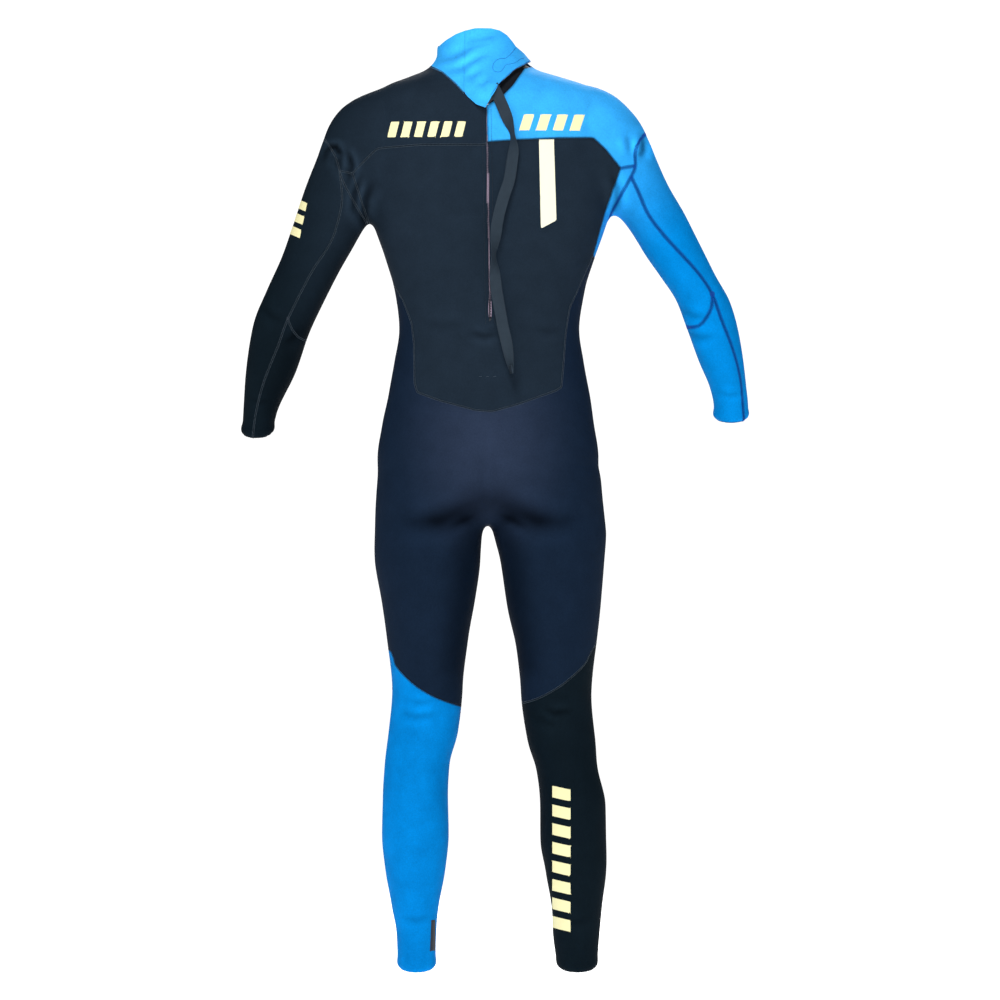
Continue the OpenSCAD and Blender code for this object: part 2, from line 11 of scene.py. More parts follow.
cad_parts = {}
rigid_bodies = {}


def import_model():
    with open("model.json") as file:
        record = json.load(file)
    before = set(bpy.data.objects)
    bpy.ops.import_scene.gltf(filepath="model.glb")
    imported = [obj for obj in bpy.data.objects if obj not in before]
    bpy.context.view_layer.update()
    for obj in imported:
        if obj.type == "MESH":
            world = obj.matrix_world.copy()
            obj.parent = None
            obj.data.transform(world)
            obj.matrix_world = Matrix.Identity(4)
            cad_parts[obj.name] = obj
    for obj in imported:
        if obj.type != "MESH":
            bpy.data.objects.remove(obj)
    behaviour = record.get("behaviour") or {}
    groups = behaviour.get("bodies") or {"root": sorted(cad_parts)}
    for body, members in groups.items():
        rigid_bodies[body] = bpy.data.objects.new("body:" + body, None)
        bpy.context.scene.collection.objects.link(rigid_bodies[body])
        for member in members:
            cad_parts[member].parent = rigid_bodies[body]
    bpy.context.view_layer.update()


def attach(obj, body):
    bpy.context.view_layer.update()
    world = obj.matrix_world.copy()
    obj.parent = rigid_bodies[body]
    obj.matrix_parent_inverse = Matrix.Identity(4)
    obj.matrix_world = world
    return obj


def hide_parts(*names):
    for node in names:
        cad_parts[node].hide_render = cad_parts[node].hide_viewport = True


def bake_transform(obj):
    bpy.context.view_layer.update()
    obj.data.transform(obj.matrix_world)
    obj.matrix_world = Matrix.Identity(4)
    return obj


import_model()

MM = 0.001
NECK_Z = 1420  # height of the origin above the ankle hems, mm
NEOPRENE = 3.0 * MM
VOXEL = 3.6 * MM
KNEE_HEIGHT = 400  # the cuffs below it are the ankles'
BACK, FRONT = -1, 1
LEFT, RIGHT = -1, 1

# ---------------------------------------------------------------- shape of the worn suit, mm from the hems
# Trunk rings: height, centre x, half width, depth at the back, hollow of the spine, depth in front, power
TRUNK = [
    [700, 0, 110, 40, 2, 40, 2.2], [722, 0, 150, 72, 4, 66, 2.3], [750, 0, 170, 93, 6, 83, 2.4],
    [800, 0, 172, 104, 8, 91, 2.4], [850, 0, 165, 99, 6, 93, 2.4], [900, 2, 156, 93, 4, 92, 2.4],
    [950, 2, 147, 91, 3, 90, 2.4], [1000, 2, 140, 92.8, 2, 90, 2.4], [1060, 3, 148, 93.6, 2, 95, 2.4],
    [1110, 3, 163, 94.2, 4, 104, 2.5], [1180, 3, 186, 95, 7, 114, 2.6], [1240, 2, 192, 95.6, 8, 118, 2.6],
    [1300, 0, 190, 96.3, 7, 108, 2.5], [1342, 0, 186, 97, 4, 89, 2.4], [1362, 0, 178, 97, 1.5, 76, 2.3],
    [1378, -2, 156, 90, 0, 67, 2.2], [1392, -6, 116, 82, 0, 58, 2.1], [1404, -10, 84, 74, 0, 54, 2],
    [1420, -12, 68, 66, 0, 52, 2], [1440, -17, 61, 61, 0, 52, 2], [1490, -18, 56, 59, 0, 53, 2]]
# Sleeve rings: outer edge x and z, inner edge x and z, centre y, half depth
ARM_LEFT = [
    [-112, 1375, -112, 1285, -6, 46], [-150, 1376, -128, 1268, -8, 56], [-191, 1366, -148, 1238, -10, 62],
    [-222, 1348, -163, 1212, -10, 65], [-246, 1317, -174, 1188, -10, 64], [-264, 1270, -184, 1168, -10, 61],
    [-285, 1216, -197, 1146, -10, 56], [-303, 1161, -222, 1104, -11, 52], [-319, 1115, -238, 1075, -12, 49],
    [-344, 1060, -261, 1029, -11, 47], [-365, 1006, -278, 991, -8, 44], [-376, 936, -299, 931, 1, 39],
    [-381, 874, -328, 871, 14, 32], [-384, 829, -338, 829, 21, 30]]
ARM_RIGHT = [
    [112, 1378, 112, 1285, -6, 46], [152, 1379, 128, 1268, -8, 56], [193, 1366, 148, 1240, -10, 62],
    [217, 1345, 160, 1215, -10, 64], [238, 1317, 170, 1200, -10, 62], [256, 1277, 180, 1188, -10, 59],
    [281, 1222, 200, 1176, -10, 56], [306, 1178, 222, 1150, -11, 52], [330, 1130, 246, 1112, -12, 49],
    [353, 1084, 270, 1078, -12, 47], [376, 1042, 292, 1045, -10, 45], [388, 1000, 308, 1003, -7, 43],
    [397, 950, 327, 952, 0, 40], [402, 910, 345, 910, 8, 35], [405, 880, 351, 884, 14, 32],
    [403, 853, 353, 853, 20, 30]]
# Leg rings: centre x, centre y, height, half width, half depth
LEG_LEFT = [
    [-76, 0, 830, 56, 66], [-87, -4, 775, 84, 95], [-90, -5, 730, 86, 95], [-92, -6, 690, 84, 88],
    [-94, -4, 641, 82, 88], [-93, -2, 578, 73, 82], [-94, 0, 516, 63, 72], [-94, 2, 445, 55, 62],
    [-100, 1, 376, 54, 57], [-110, -5, 322, 50.5, 57], [-113, -10, 270, 51, 58], [-113, -12, 215, 52, 57],
    [-113, -12, 160, 47, 52], [-113, -10, 105, 37, 45], [-111, -7, 60, 31, 40], [-111, -5, 0, 29, 39]]
LEG_RIGHT = [
    [76, 0, 830, 56, 66], [89, -4, 775, 86, 95], [93, -5, 730, 87, 95], [95, -6, 690, 88.5, 88],
    [100, -4, 641, 81, 88], [103, -2, 563, 72, 80], [106, 0, 501, 62, 71], [106, 2, 435, 55, 61],
    [114, 1, 361, 53, 57], [123, -5, 314, 48, 57], [132, -10, 260, 51, 58], [133, -12, 205, 51, 57],
    [137, -12, 155, 47, 52], [138, -10, 100, 39, 45], [137, -7, 56, 36, 41], [139, -5, 0, 30, 39]]

def smooth_curve(p, step):
    """Catmull-Rom points through the given ones, about step apart."""
    out = []
    q = np.concatenate([[2 * p[0] - p[1]], p, [2 * p[-1] - p[-2]]])
    for i in range(1, len(q) - 2):
        n = max(2, int(np.linalg.norm(q[i + 1] - q[i]) / step))
        for t in np.arange(n) / n:
            out.append(0.5 * (2 * q[i] + (q[i + 1] - q[i - 1]) * t
                              + (2 * q[i - 1] - 5 * q[i] + 4 * q[i + 1] - q[i + 2]) * t * t
                              + (3 * q[i] - q[i - 1] - 3 * q[i + 1] + q[i + 2]) * t ** 3))
    return np.array(out + [p[-1]])


def curved(line):
    """The same line in x and z, bending smoothly through its points."""
    return smooth_curve(np.array(line, float), 9).tolist()


# Seam lines as x and z, from seam to seam
YOKE_LEFT_HEM = [[-2, 1284], [-106, 1284], [-171, 1279], [-187, 1264], [-210, 1240], [-230, 1244]]
YOKE_RIGHT_HEM = [[-2, 1288], [44, 1291], [106, 1294], [163, 1295], [182, 1277], [205, 1248], [229, 1252]]
ARMHOLE_LEFT = curved([
    [-300, 1318], [-262, 1302], [-237, 1268], [-230, 1244], [-222, 1222], [-204, 1190], [-186, 1160]])
ARMHOLE_RIGHT = curved([
    [300, 1330], [262, 1315], [236, 1293], [228, 1270], [229, 1252], [222, 1235], [209, 1212], [192, 1180],
    [184, 1160]])
WING_LEFT = [
    [-210, 1240], [-187, 1170], [-169, 1107], [-132, 1043], [-119, 1009], [-115, 978], [-114, 916],
    [-110, 901]]
WING_RIGHT = [
    [114, 909], [117, 942], [121, 994], [127, 1032], [139, 1058], [163, 1112], [181, 1178], [194, 1218],
    [205, 1248]]
BACK_HEM = [[-75, 888], [-19, 873], [7, 871], [46, 882], [105, 903]]
SLEEVE_LEFT = curved([
    [-230, 1244], [-226, 1200], [-234, 1160], [-246, 1129], [-274, 1086], [-310, 1015], [-326, 972],
    [-348, 917], [-362, 862], [-368, 800]])
SLEEVE_RIGHT = curved([
    [222, 1235], [233, 1212], [249, 1176], [275, 1142], [299, 1116], [328, 1084], [348, 1053], [362, 1015],
    [381, 966], [392, 924], [396, 886], [401, 820]])
ELBOW_LEFT = curved([[-310, 1015], [-306, 1003], [-298, 991], [-285, 982], [-240, 974]])
ELBOW_RIGHT = curved([[348, 1053], [347, 1033], [333, 1009], [317, 1002], [280, 1008]])
KNEE_LEFT = curved([
    [-180, 520], [-151, 499], [-145, 479], [-127, 458], [-104, 440], [-75, 425], [-39, 413], [-20, 408]])
KNEE_RIGHT = curved([
    [20, 412], [51, 418], [79, 427], [110, 444], [134, 463], [152, 481], [162, 501], [190, 540]])
KNEE_DIP_LEFT = curved([
    [-180, 520], [-152, 450], [-132, 380], [-99, 348], [-66, 366], [-44, 392], [-20, 408]])
KNEE_DIP_RIGHT = curved([[20, 412], [58, 386], [80, 362], [112, 348], [145, 382], [160, 450], [190, 540]])
NECK_LEFT = [[-105, 1414], [-90, 1408], [-71, 1398], [-51, 1380], [-32, 1359], [-18, 1346], [-4, 1341]]
NECK_RIGHT = [[-2, 1345], [22, 1359], [39, 1377], [57, 1404], [68, 1408], [84, 1412]]
NECK_FRONT = [[-105, 1414], [-84, 1404], [-50, 1376], [-10, 1362], [30, 1376], [62, 1402], [84, 1412]]
FLAP_EDGE = [[-4, 1341], [5, 1358], [19, 1377], [39, 1396], [65, 1413]]
RIM_BACK = [
    [-110, 1426], [-79, 1438], [-66, 1448], [-50, 1457], [-36, 1462], [-20, 1465], [3, 1465], [16, 1462],
    [26, 1455], [34, 1445], [39, 1437], [52, 1425], [65, 1413]]
RIM_FRONT = [[-110, 1432], [-79, 1440], [-18, 1436], [40, 1436], [66, 1432], [110, 1414]]
OVER, ASIDE = 1600, 600  # places well above the suit and well beside it
ABOVE_RIM_BACK = RIM_BACK + [[84, OVER], [-130, OVER]]
ABOVE_RIM_FRONT = RIM_FRONT + [[120, OVER], [-130, OVER]]
CHEST_TOP = 1301
FLAP_SEAM_X = -37
ZIP_TOP = (-2.5, 1362)
ZIP_END = (3.5, 1012)
SLOT_HALF = 1.0

# The leash's middle line, from the puller to the tip, as in part.scad
LEASH = [
    [14, -102, 1362], [18, -102.5, 1354], [24, -103, 1340], [31, -105, 1322], [37, -108, 1304],
    [40, -107, 1281], [37, -105, 1255], [33, -105.5, 1229], [25, -107, 1205], [18, -108.5, 1180],
    [14, -110, 1160], [12, -111, 1142], [10, -112, 1126], [9, -112.5, 1111], [10, -113, 1090],
    [12, -113.5, 1070], [14, -114, 1054], [17, -114.5, 1037], [20, -115, 1020], [23, -115, 1003],
    [27, -115, 986], [30, -115, 972], [33, -115, 954], [35, -115, 942], [37, -115, 930]]
LEASH_START = [[7, -100.6, 1376], [10, -101.3, 1370]]  # the part of it hidden under the flap
LEASH_W, LEASH_T = 18 * MM, 1.2 * MM
FOLD_MIDDLE = 6.3  # the sewn fold's middle, from the leash's tip
TACK_SHAPE = ((-0.9, -0.1), (-0.4, 0.2), (0.4, 0.2), (0.9, -0.1))  # one stitch, along and above


# ---------------------------------------------------------------- camera, light and floor
LENS, SENSOR = 463, 36
CAMERA_AWAY = 20
AMBIENT, SURROUND = 0.09, 1.1  # the white world as light, and as it is seen
FLOOR_REACH, FLOOR_GAP = 60, 0.012
WHITE = (1, 1, 1, 1)


def camera():
    """Level view of the back, from far enough away that the perspective is slight."""
    middle = Vector((18.7, 0, 734 - NECK_Z)) * MM
    data = bpy.data.cameras.new("camera")
    data.lens, data.sensor_width = LENS, SENSOR
    data.clip_end = 3 * CAMERA_AWAY
    cam = bpy.data.objects.new("camera", data)
    cam.location = middle - Vector((0, CAMERA_AWAY, 0))
    cam.rotation_euler = (math.pi / 2, 0, 0)
    bpy.context.collection.objects.link(cam)
    bpy.context.scene.camera = cam


def lamp(name, at, aim, size, power):
    data = bpy.data.lights.new(name, "AREA")
    data.shape = "RECTANGLE"
    data.size, data.size_y = size
    data.energy = power
    ob = bpy.data.objects.new(name, data)
    ob.location = at
    ob.rotation_euler = (Vector(aim) - Vector(at)).to_track_quat("-Z", "Y").to_euler()
    bpy.context.collection.objects.link(ob)


def studio():
    """Soft lamps on both sides of the suit in an even white surround."""
    world = bpy.data.worlds.new("studio")
    bpy.context.scene.world = world
    world.use_nodes = True
    nodes, links = world.node_tree.nodes, world.node_tree.links
    light = nodes["Background"]
    seen = nodes.new("ShaderNodeBackground")
    for background, strength in ((light, AMBIENT), (seen, SURROUND)):
        background.inputs["Color"].default_value = WHITE
        background.inputs["Strength"].default_value = strength
    pick = nodes.new("ShaderNodeMixShader")
    links.new(nodes.new("ShaderNodeLightPath").outputs["Is Camera Ray"], pick.inputs["Fac"])
    links.new(light.outputs["Background"], pick.inputs[1])
    links.new(seen.outputs["Background"], pick.inputs[2])
    links.new(pick.outputs["Shader"], nodes["World Output"].inputs["Surface"])
    lamp("key", (-0.5, -2.2, 2.5), (0, 0, -0.35), (1.2, 0.8), 104)
    lamp("lens", (0.2, -4.5, 0.1), (0, 0, -0.6), (0.8, 0.8), 44)
    lamp("side_left", (-3.0, 0.4, 0.9), (0, 0, -0.4), (0.8, 2.0), 9)
    lamp("side_right", (3.0, 0.4, 0.9), (0, 0, -0.4), (0.8, 2.0), 9)
    lamp("front", (0.4, 3.2, 1.6), (0, 0, -0.5), (1.6, 1.6), 110)
    bpy.context.scene.view_settings.view_transform = "Standard"


def floor():
    """Pale floor, wide enough for its edge to stay out of sight."""
    far = FLOOR_REACH
    z = -NECK_Z * MM - FLOOR_GAP
    mesh = bpy.data.meshes.new("floor")
    corners = [(-far, -far, z), (far, -far, z), (far, far, z), (-far, far, z)]
    mesh.from_pydata(corners, [], [(0, 1, 2, 3)])
    ob = bpy.data.objects.new("floor", mesh)
    bpy.context.collection.objects.link(ob)
    mat = bpy.data.materials.new("floor")
    mat.use_nodes = True
    bsdf = mat.node_tree.nodes["Principled BSDF"]
    bsdf.inputs["Base Color"].default_value = (0.90, 0.90, 0.90, 1)
    bsdf.inputs["Roughness"].default_value = 0.95
    bsdf.inputs["Specular IOR Level"].default_value = 0.0
    bsdf.inputs["Emission Color"].default_value = WHITE
    bsdf.inputs["Emission Strength"].default_value = 1.0
    mesh.materials.append(mat)


# ---------------------------------------------------------------- body surface
def smooth_rows(rows, step):
    """The stations with smooth monotone stations between them, about step mm apart."""
    p = np.array(rows, float)
    d = np.diff(p, axis=0)
    slope = np.zeros_like(p)
    both = d[:-1] * d[1:] > 0
    with np.errstate(divide="ignore", invalid="ignore"):
        slope[1:-1] = np.where(both, 2 * d[:-1] * d[1:] / (d[:-1] + d[1:]), 0)
    slope[0], slope[-1] = d[0], d[-1]
    out = []
    for i in range(len(d)):
        n = max(1, int(np.abs(d[i]).max() / step))
        for t in np.arange(n) / n:
            h = (2 * t**3 - 3 * t**2 + 1, t**3 - 2 * t**2 + t, -2 * t**3 + 3 * t**2, t**3 - t**2)
            out.append(h[0] * p[i] + h[1] * slope[i] + h[2] * p[i + 1] + h[3] * slope[i + 1])
    return np.array(out + [p[-1]])


def signed_power(v, e):
    return np.sign(v) * np.abs(v) ** e


def trunk_rings(n=120):
    a = np.arange(n) * 2 * math.pi / n
    rings = []
    for z, cx, w, back, hollow, front, power in smooth_rows(TRUNK, 6):
        u, v = signed_power(np.cos(a), 2 / power), signed_power(np.sin(a), 2 / power)
        dip = hollow * (1 - np.exp(-(w * u / 42) ** 2))
        rings.append(np.stack([cx + w * u, np.where(v > 0, front * v, (back + dip) * v), np.full(n, z)], 1))
    return rings


def sleeve_rings(rows, n=64):
    a = np.arange(n) * 2 * math.pi / n * (1 if rows[0][0] < 0 else -1)
    rings = []
    for xo, zo, xi, zi, y, depth in smooth_rows(rows, 6):
        c = np.array([(xo + xi) / 2, y, (zo + zi) / 2])
        u = np.array([(xo - xi) / 2, 0, (zo - zi) / 2])
        rings.append(c + np.cos(a)[:, None] * u + np.sin(a)[:, None] * np.array([0, depth, 0]))
    return rings


def leg_rings(rows, n=72):
    a = -np.arange(n) * 2 * math.pi / n
    return [np.stack([x + w * np.cos(a), y + d * np.sin(a), np.full(n, z)], 1)
            for x, y, z, w, d in smooth_rows(rows, 6)]


def extended(rings, amount):
    """The rings with the last one repeated further along, so that the open end can be cut."""
    step = rings[-1].mean(0) - rings[-3].mean(0)
    return rings + [rings[-1] + step / np.linalg.norm(step) * amount]


def loft(rings, verts, faces):
    base, n, m = len(verts), len(rings[0]), len(rings)
    for r in rings:
        verts.extend(map(tuple, r))
    for i in range(m - 1):
        for j in range(n):
            k = (j + 1) % n
            low, high = base + i * n, base + (i + 1) * n
            faces.append([low + j, low + k, high + k, high + j])
    faces.append([base + j for j in reversed(range(n))])
    faces.append([base + (m - 1) * n + j for j in range(n)])


def union_mesh():
    """The trunk, sleeves and legs as one closed skin, points in mm and triangles."""
    verts, faces = [], []
    loft(trunk_rings(), verts, faces)
    for rows in (ARM_LEFT, ARM_RIGHT):
        loft(extended(sleeve_rings(rows), 14), verts, faces)
    for rows in (LEG_LEFT, LEG_RIGHT):
        loft(extended(leg_rings(rows), 14), verts, faces)
    mesh = bpy.data.meshes.new("union")
    mesh.from_pydata([(x * MM, y * MM, z * MM) for x, y, z in verts], [], faces)
    ob = bpy.data.objects.new("union", mesh)
    bpy.context.collection.objects.link(ob)
    remesh = ob.modifiers.new("skin", "REMESH")
    remesh.mode = "VOXEL"
    remesh.voxel_size = VOXEL
    done = ob.evaluated_get(bpy.context.evaluated_depsgraph_get()).to_mesh()
    done.calc_loop_triangles()
    co = np.empty(len(done.vertices) * 3)
    done.vertices.foreach_get("co", co)
    tri = np.empty(len(done.loop_triangles) * 3, np.int64)
    done.loop_triangles.foreach_get("vertices", tri)
    bpy.data.objects.remove(ob)
    bpy.data.meshes.remove(mesh)
    co, tri = co.reshape(-1, 3) / MM, tri.reshape(-1, 3)
    if signed_volume(co, tri) < 0:
        tri = tri[:, ::-1].copy()
    return co, tri


def signed_volume(co, tri):
    a, b, c = co[tri[:, 0]], co[tri[:, 1]], co[tri[:, 2]]
    return (np.cross(a, b) * c).sum() / 6


def triangle_ends(tri):
    """The two points of each side of each triangle, the lower one first."""
    return np.sort(np.concatenate([tri[:, [0, 1]], tri[:, [1, 2]], tri[:, [2, 0]]]), 1)


def edges_of(tri):
    return np.unique(triangle_ends(tri), axis=0)


def relax(co, edges, weight, steps, keep_volume=True):
    """Smooths the points by their neighbours; weight says how much each may move."""
    count = np.bincount(edges.ravel(), minlength=len(co))[:, None].astype(float)
    for _ in range(steps):
        for share in ((0.5, -0.53) if keep_volume else (0.5,)):
            total = np.zeros_like(co)
            for k in range(3):
                total[:, k] = (np.bincount(edges[:, 0], co[edges[:, 1], k], len(co))
                               + np.bincount(edges[:, 1], co[edges[:, 0], k], len(co)))
            co = co + share * weight[:, None] * (total / np.maximum(count, 1) - co)
    return co


def normals_of(co, tri):
    a, b, c = co[tri[:, 0]], co[tri[:, 1]], co[tri[:, 2]]
    face = np.cross(b - a, c - a)
    n = np.zeros_like(co)
    for k in range(3):
        for j in range(3):
            n[:, j] += np.bincount(tri[:, k], face[:, j], len(co))
    return n / np.maximum(np.linalg.norm(n, axis=1), 1e-12)[:, None]


def ball(co, centre, radius):
    """Soft weight from 1 at the centre to 0 at the radius."""
    d = np.linalg.norm(co - np.array(centre), axis=1) / radius
    return np.clip(1 - d, 0, 1) ** 2 * (3 - 2 * np.clip(1 - d, 0, 1))


# ---------------------------------------------------------------- folds
def line_distance(xz, line):
    """Distance of points to an open line, and how far along the line each one lies, from 0 to 1."""
    line = np.array(line, float)
    best = np.full(len(xz), 1e9)
    along = np.zeros(len(xz))
    lengths = np.linalg.norm(np.diff(line, axis=0), axis=1)
    starts = np.concatenate([[0], np.cumsum(lengths)])
    for i, (p, q) in enumerate(zip(line[:-1], line[1:])):
        d = q - p
        t = np.clip(((xz - p) @ d) / (d @ d), 0, 1)
        gap = np.linalg.norm(xz - p - t[:, None] * d, axis=1)
        near = gap < best
        best[near] = gap[near]
        along[near] = (starts[i] + t[near] * lengths[i]) / starts[-1]
    return best, along


def fold_taper(along):
    """A fold's strength along its line: full in the middle, slight at its ends."""
    return np.sin(np.pi * np.clip(along, 0.02, 0.98)) ** 0.7


def beside_fold(gap, width):
    """The soft roll beside a fold, strongest about two widths from its line."""
    return np.exp(-((gap - 2.1 * width) / (1.2 * width)) ** 2)


def fold(co, normal, side, line, depth, width):
    """A fold along a line on one side of the suit, with a soft roll beside it, tapering to its ends."""
    gap, along = line_distance(co[:, [0, 2]], line)
    taper = fold_taper(along)
    shape = 0.45 * beside_fold(gap, width) - np.exp(-(gap / width) ** 2)
    facing = np.clip(normal[:, 1] * side * 3, 0, 1)
    return co + normal * (depth * shape * taper * facing)[:, None]


BACK_FOLDS = [
    # under the left arm, then the right one
    ([[-196, 1236], [-205, 1210], [-206, 1185], [-196, 1168]], 4.4, 5),
    ([[-176, 1226], [-189, 1198], [-190, 1172], [-183, 1150]], 3.4, 6),
    ([[-222, 1262], [-214, 1236], [-216, 1210]], 2.4, 6),
    ([[190, 1240], [199, 1218], [200, 1196], [190, 1178]], 2.6, 6),
    ([[238, 1298], [240, 1288], [240, 1276], [236, 1264]], 5.5, 6),
    ([[214, 1300], [218, 1284], [220, 1268]], 2.4, 6),
    # puckers where the left yoke, sleeve and back meet
    ([[-254, 1262], [-251, 1275], [-244, 1281], [-236, 1281], [-228, 1269], [-230, 1244]], 6.5, 4.5),
    ([[-222, 1280], [-216, 1268], [-210, 1252], [-211, 1240]], 5.0, 4.5),
    ([[-240, 1270], [-236, 1260], [-234, 1248]], 3.0, 5),
    # elbows
    ([[-352, 1040], [-338, 1022], [-318, 1010]], 1.2, 6),
    ([[-290, 1000], [-303, 985], [-316, 975]], 1.4, 6),
    ([[300, 1030], [318, 1020], [338, 1018]], 1.4, 6),
    ([[312, 992], [330, 986], [352, 990]], 1.3, 6),
    # wrists
    ([[-372, 892], [-356, 886], [-338, 888]], 0.9, 4),
    ([[356, 902], [376, 897], [396, 902]], 1.0, 4),
    # waist, below the zip
    ([[-26, 993], [-4, 988], [18, 992]], 2.6, 5),
    ([[-12, 1002], [4, 998], [20, 1003]], 1.2, 5),
    ([[-100, 1010], [-70, 1004], [-34, 1008]], 0.7, 7),
    ([[70, 1000], [96, 996], [116, 1000]], 0.8, 6),
    # under the seat
    ([[-140, 708], [-110, 700], [-75, 702], [-40, 714], [-12, 730]], 2.2, 13),
    ([[140, 708], [110, 700], [78, 702], [42, 714], [12, 730]], 2.2, 13),
    ([[-60, 690], [-38, 702], [-16, 712]], 1.6, 6), ([[62, 690], [40, 702], [16, 712]], 1.6, 6),
    # behind the knees
    ([[88, 412], [104, 404], [130, 408]], 2.8, 5), ([[70, 398], [96, 390], [128, 396]], 1.2, 6),
    ([[-136, 404], [-110, 398], [-78, 404]], 1.3, 6), ([[-124, 424], [-104, 420], [-80, 424]], 0.8, 5),
    # ankles
    ([[-136, 88], [-112, 82], [-88, 88]], 0.8, 5), ([[110, 86], [136, 80], [162, 86]], 0.8, 5),
    # collar
    ([[-76, 1414], [-54, 1418], [-26, 1432], [4, 1440]], 2.6, 6),
    ([[-62, 1398], [-40, 1402], [-18, 1414], [0, 1424]], 2.4, 6),
    ([[-44, 1440], [-18, 1446], [14, 1452]], 1.8, 6),
    ([[-40, 1388], [-22, 1388], [-6, 1398]], 1.6, 7),
    ([[-24, 1372], [-8, 1372], [6, 1384]], 1.2, 6),
]
FRONT_FOLDS = [
    ([[-188, 1226], [-178, 1200], [-186, 1172]], 2.4, 7), ([[188, 1230], [178, 1204], [186, 1180]], 2.4, 7),
    ([[-225, 1275], [-214, 1240], [-208, 1210]], 1.8, 7), ([[228, 1275], [216, 1240], [210, 1212]], 1.8, 7),
    ([[-120, 1012], [-40, 1000], [40, 1000], [120, 1012]], 1.0, 10),
    ([[-140, 770], [-90, 740], [-40, 716], [-10, 704]], 2.4, 10),
    ([[140, 770], [90, 740], [40, 716], [10, 704]], 2.4, 10),
    ([[-300, 1015], [-320, 1006], [-345, 1010]], 1.8, 6), ([[310, 1012], [335, 1004], [362, 1010]], 1.8, 6),
    ([[-316, 992], [-334, 986], [-352, 990]], 1.2, 5), ([[322, 990], [345, 984], [368, 990]], 1.2, 5),
    ([[-130, 118], [-112, 112], [-94, 118]], 1.0, 6), ([[118, 116], [138, 110], [158, 116]], 1.0, 6),
]
# Broad soft painted shade on the back of the suit, under the seat, along the inner thighs and the inner left
# arm and forearm: line, strength and width
BACK_SHADES = [
    ([[-75, 705], [-30, 726], [0, 734], [30, 726], [75, 705]], 0.55, 26),
    ([[-28, 690], [-38, 600], [-50, 480]], 0.5, 24), ([[30, 690], [44, 600], [56, 480]], 0.5, 24),
    ([[-186, 1160], [-235, 1080], [-275, 990]], 0.45, 18), ([[-300, 985], [-330, 880]], 0.45, 30),
]


def crease_shade(co, normal):
    """Painted shade at each point: 0 on open cloth, up to 1 deep in a fold, below 0 for the painted highlight
    on the roll beside a fold, plus broad painted shade along BACK_SHADES.
    """
    painted_shade = np.zeros(len(co))
    for folds, side in ((BACK_FOLDS, BACK), (FRONT_FOLDS, FRONT)):
        for line, depth, width in folds:
            low = np.min(line, axis=0) - 4 * width
            high = np.max(line, axis=0) + 4 * width
            xz = co[:, [0, 2]]
            near = np.nonzero(((xz > low) & (xz < high)).all(1) & (normal[:, 1] * side > 0))[0]
            gap, along = line_distance(xz[near], line)
            taper = fold_taper(along)
            # painted shade along the fold's line, below zero (a painted highlight) on the roll beside it
            dark = np.exp(-(gap / (0.8 * width)) ** 2) - 0.6 * beside_fold(gap, width)
            painted_shade[near] += np.clip(depth / 4.5, 0, 1.1) * taper * dark
    # broad painted shade on the back, along BACK_SHADES
    for line, strength, width in BACK_SHADES:
        gap, _ = line_distance(co[:, [0, 2]], line)
        painted_shade += strength * np.exp(-(gap / width) ** 2) * np.clip(-4 * normal[:, 1], 0, 1)
    return painted_shade


def waves(co, normal):
    """Slow unevenness of the soft cloth, the same on each run."""
    x, y, z = co.T
    low = (np.sin(x / 31 + 1.3) * np.sin(z / 47 + 0.4 * np.sin(x / 60))
           + 0.6 * np.sin(z / 23 + y / 40 + 2.1) * np.sin(x / 19 - y / 27)
           + 0.5 * np.sin(z / 83 - x / 71 + 0.7))
    return co + normal * (0.35 * low)[:, None]


# Where the limbs meet the trunk: centre and radius of what is smoothed
JOINS = (((-190, -10, 1165), 62), ((188, -10, 1182), 62), ((0, 0, 696), 75), ((0, -40, 700), 60),
         ((-186, -10, 1350), 60), ((186, -10, 1350), 60), ((-172, -60, 1250), 75),
         ((172, -60, 1250), 75), ((-172, 50, 1250), 75), ((172, 50, 1250), 75))
HIP_JOIN = 735
SEAT_RELIEF, UNDER_SEAT = 7, 4  # fullness of the seat's halves, and the hollow below them


def body_surface():
    co, tri = union_mesh()
    edges = edges_of(tri)
    co = relax(co, edges, np.ones(len(co)), 10)
    joins = np.zeros(len(co))
    for centre, radius in JOINS:
        joins = np.maximum(joins, ball(co, centre, radius))
    belt = np.exp(-((co[:, 2] - HIP_JOIN) / 34) ** 2) * (np.abs(co[:, 0]) < 185)
    co = relax(co, edges, np.clip(joins * 1.3, 0, 1), 40, keep_volume=False)
    co = relax(co, edges, belt, 60, keep_volume=False)
    normal = normals_of(co, tri)
    behind = np.clip(-normal[:, 1] * 2, 0, 1)
    # cleft between the seat's halves, fading up and down
    cleft = (np.exp(-(co[:, 0] / 15) ** 2) * np.clip((co[:, 2] - 690) / 50, 0, 1)
             * np.clip((880 - co[:, 2]) / 110, 0, 1) * behind)
    co = co - normal * (SEAT_RELIEF * cleft)[:, None]
    for x in (-66, 66):
        reach = ((co[:, 0] - x) / 74) ** 2 + ((co[:, 2] - 792) / 78) ** 2
        co = co + normal * (SEAT_RELIEF * np.exp(-reach) * behind)[:, None]
        reach = ((co[:, 0] - x * 0.9) / 80) ** 2 + ((co[:, 2] - 706) / 24) ** 2
        co = co - normal * (UNDER_SEAT * np.exp(-reach) * behind)[:, None]
    for folds, side in ((BACK_FOLDS, BACK), (FRONT_FOLDS, FRONT)):
        for line, depth, width in folds:
            co = fold(co, normal, side, line, depth, width)
    high = hem_height(co)
    out = np.stack([normal[:, 0], normal[:, 1], 0 * high], 1)
    flare = np.where(co[:, 2] > KNEE_HEIGHT, 2.2, 1.0)
    co = co + out * (flare * np.exp(-((high - 9) / 7) ** 2) - 3.2 * np.exp(-(high / 3.0) ** 2))[:, None]
    zip_gap, _ = line_distance(co[:, [0, 2]], [ZIP_TOP, ZIP_END])
    co = np.where((zip_gap < 14)[:, None] & (co[:, 1:2] < 0), co, waves(co, normal))
    return co, tri


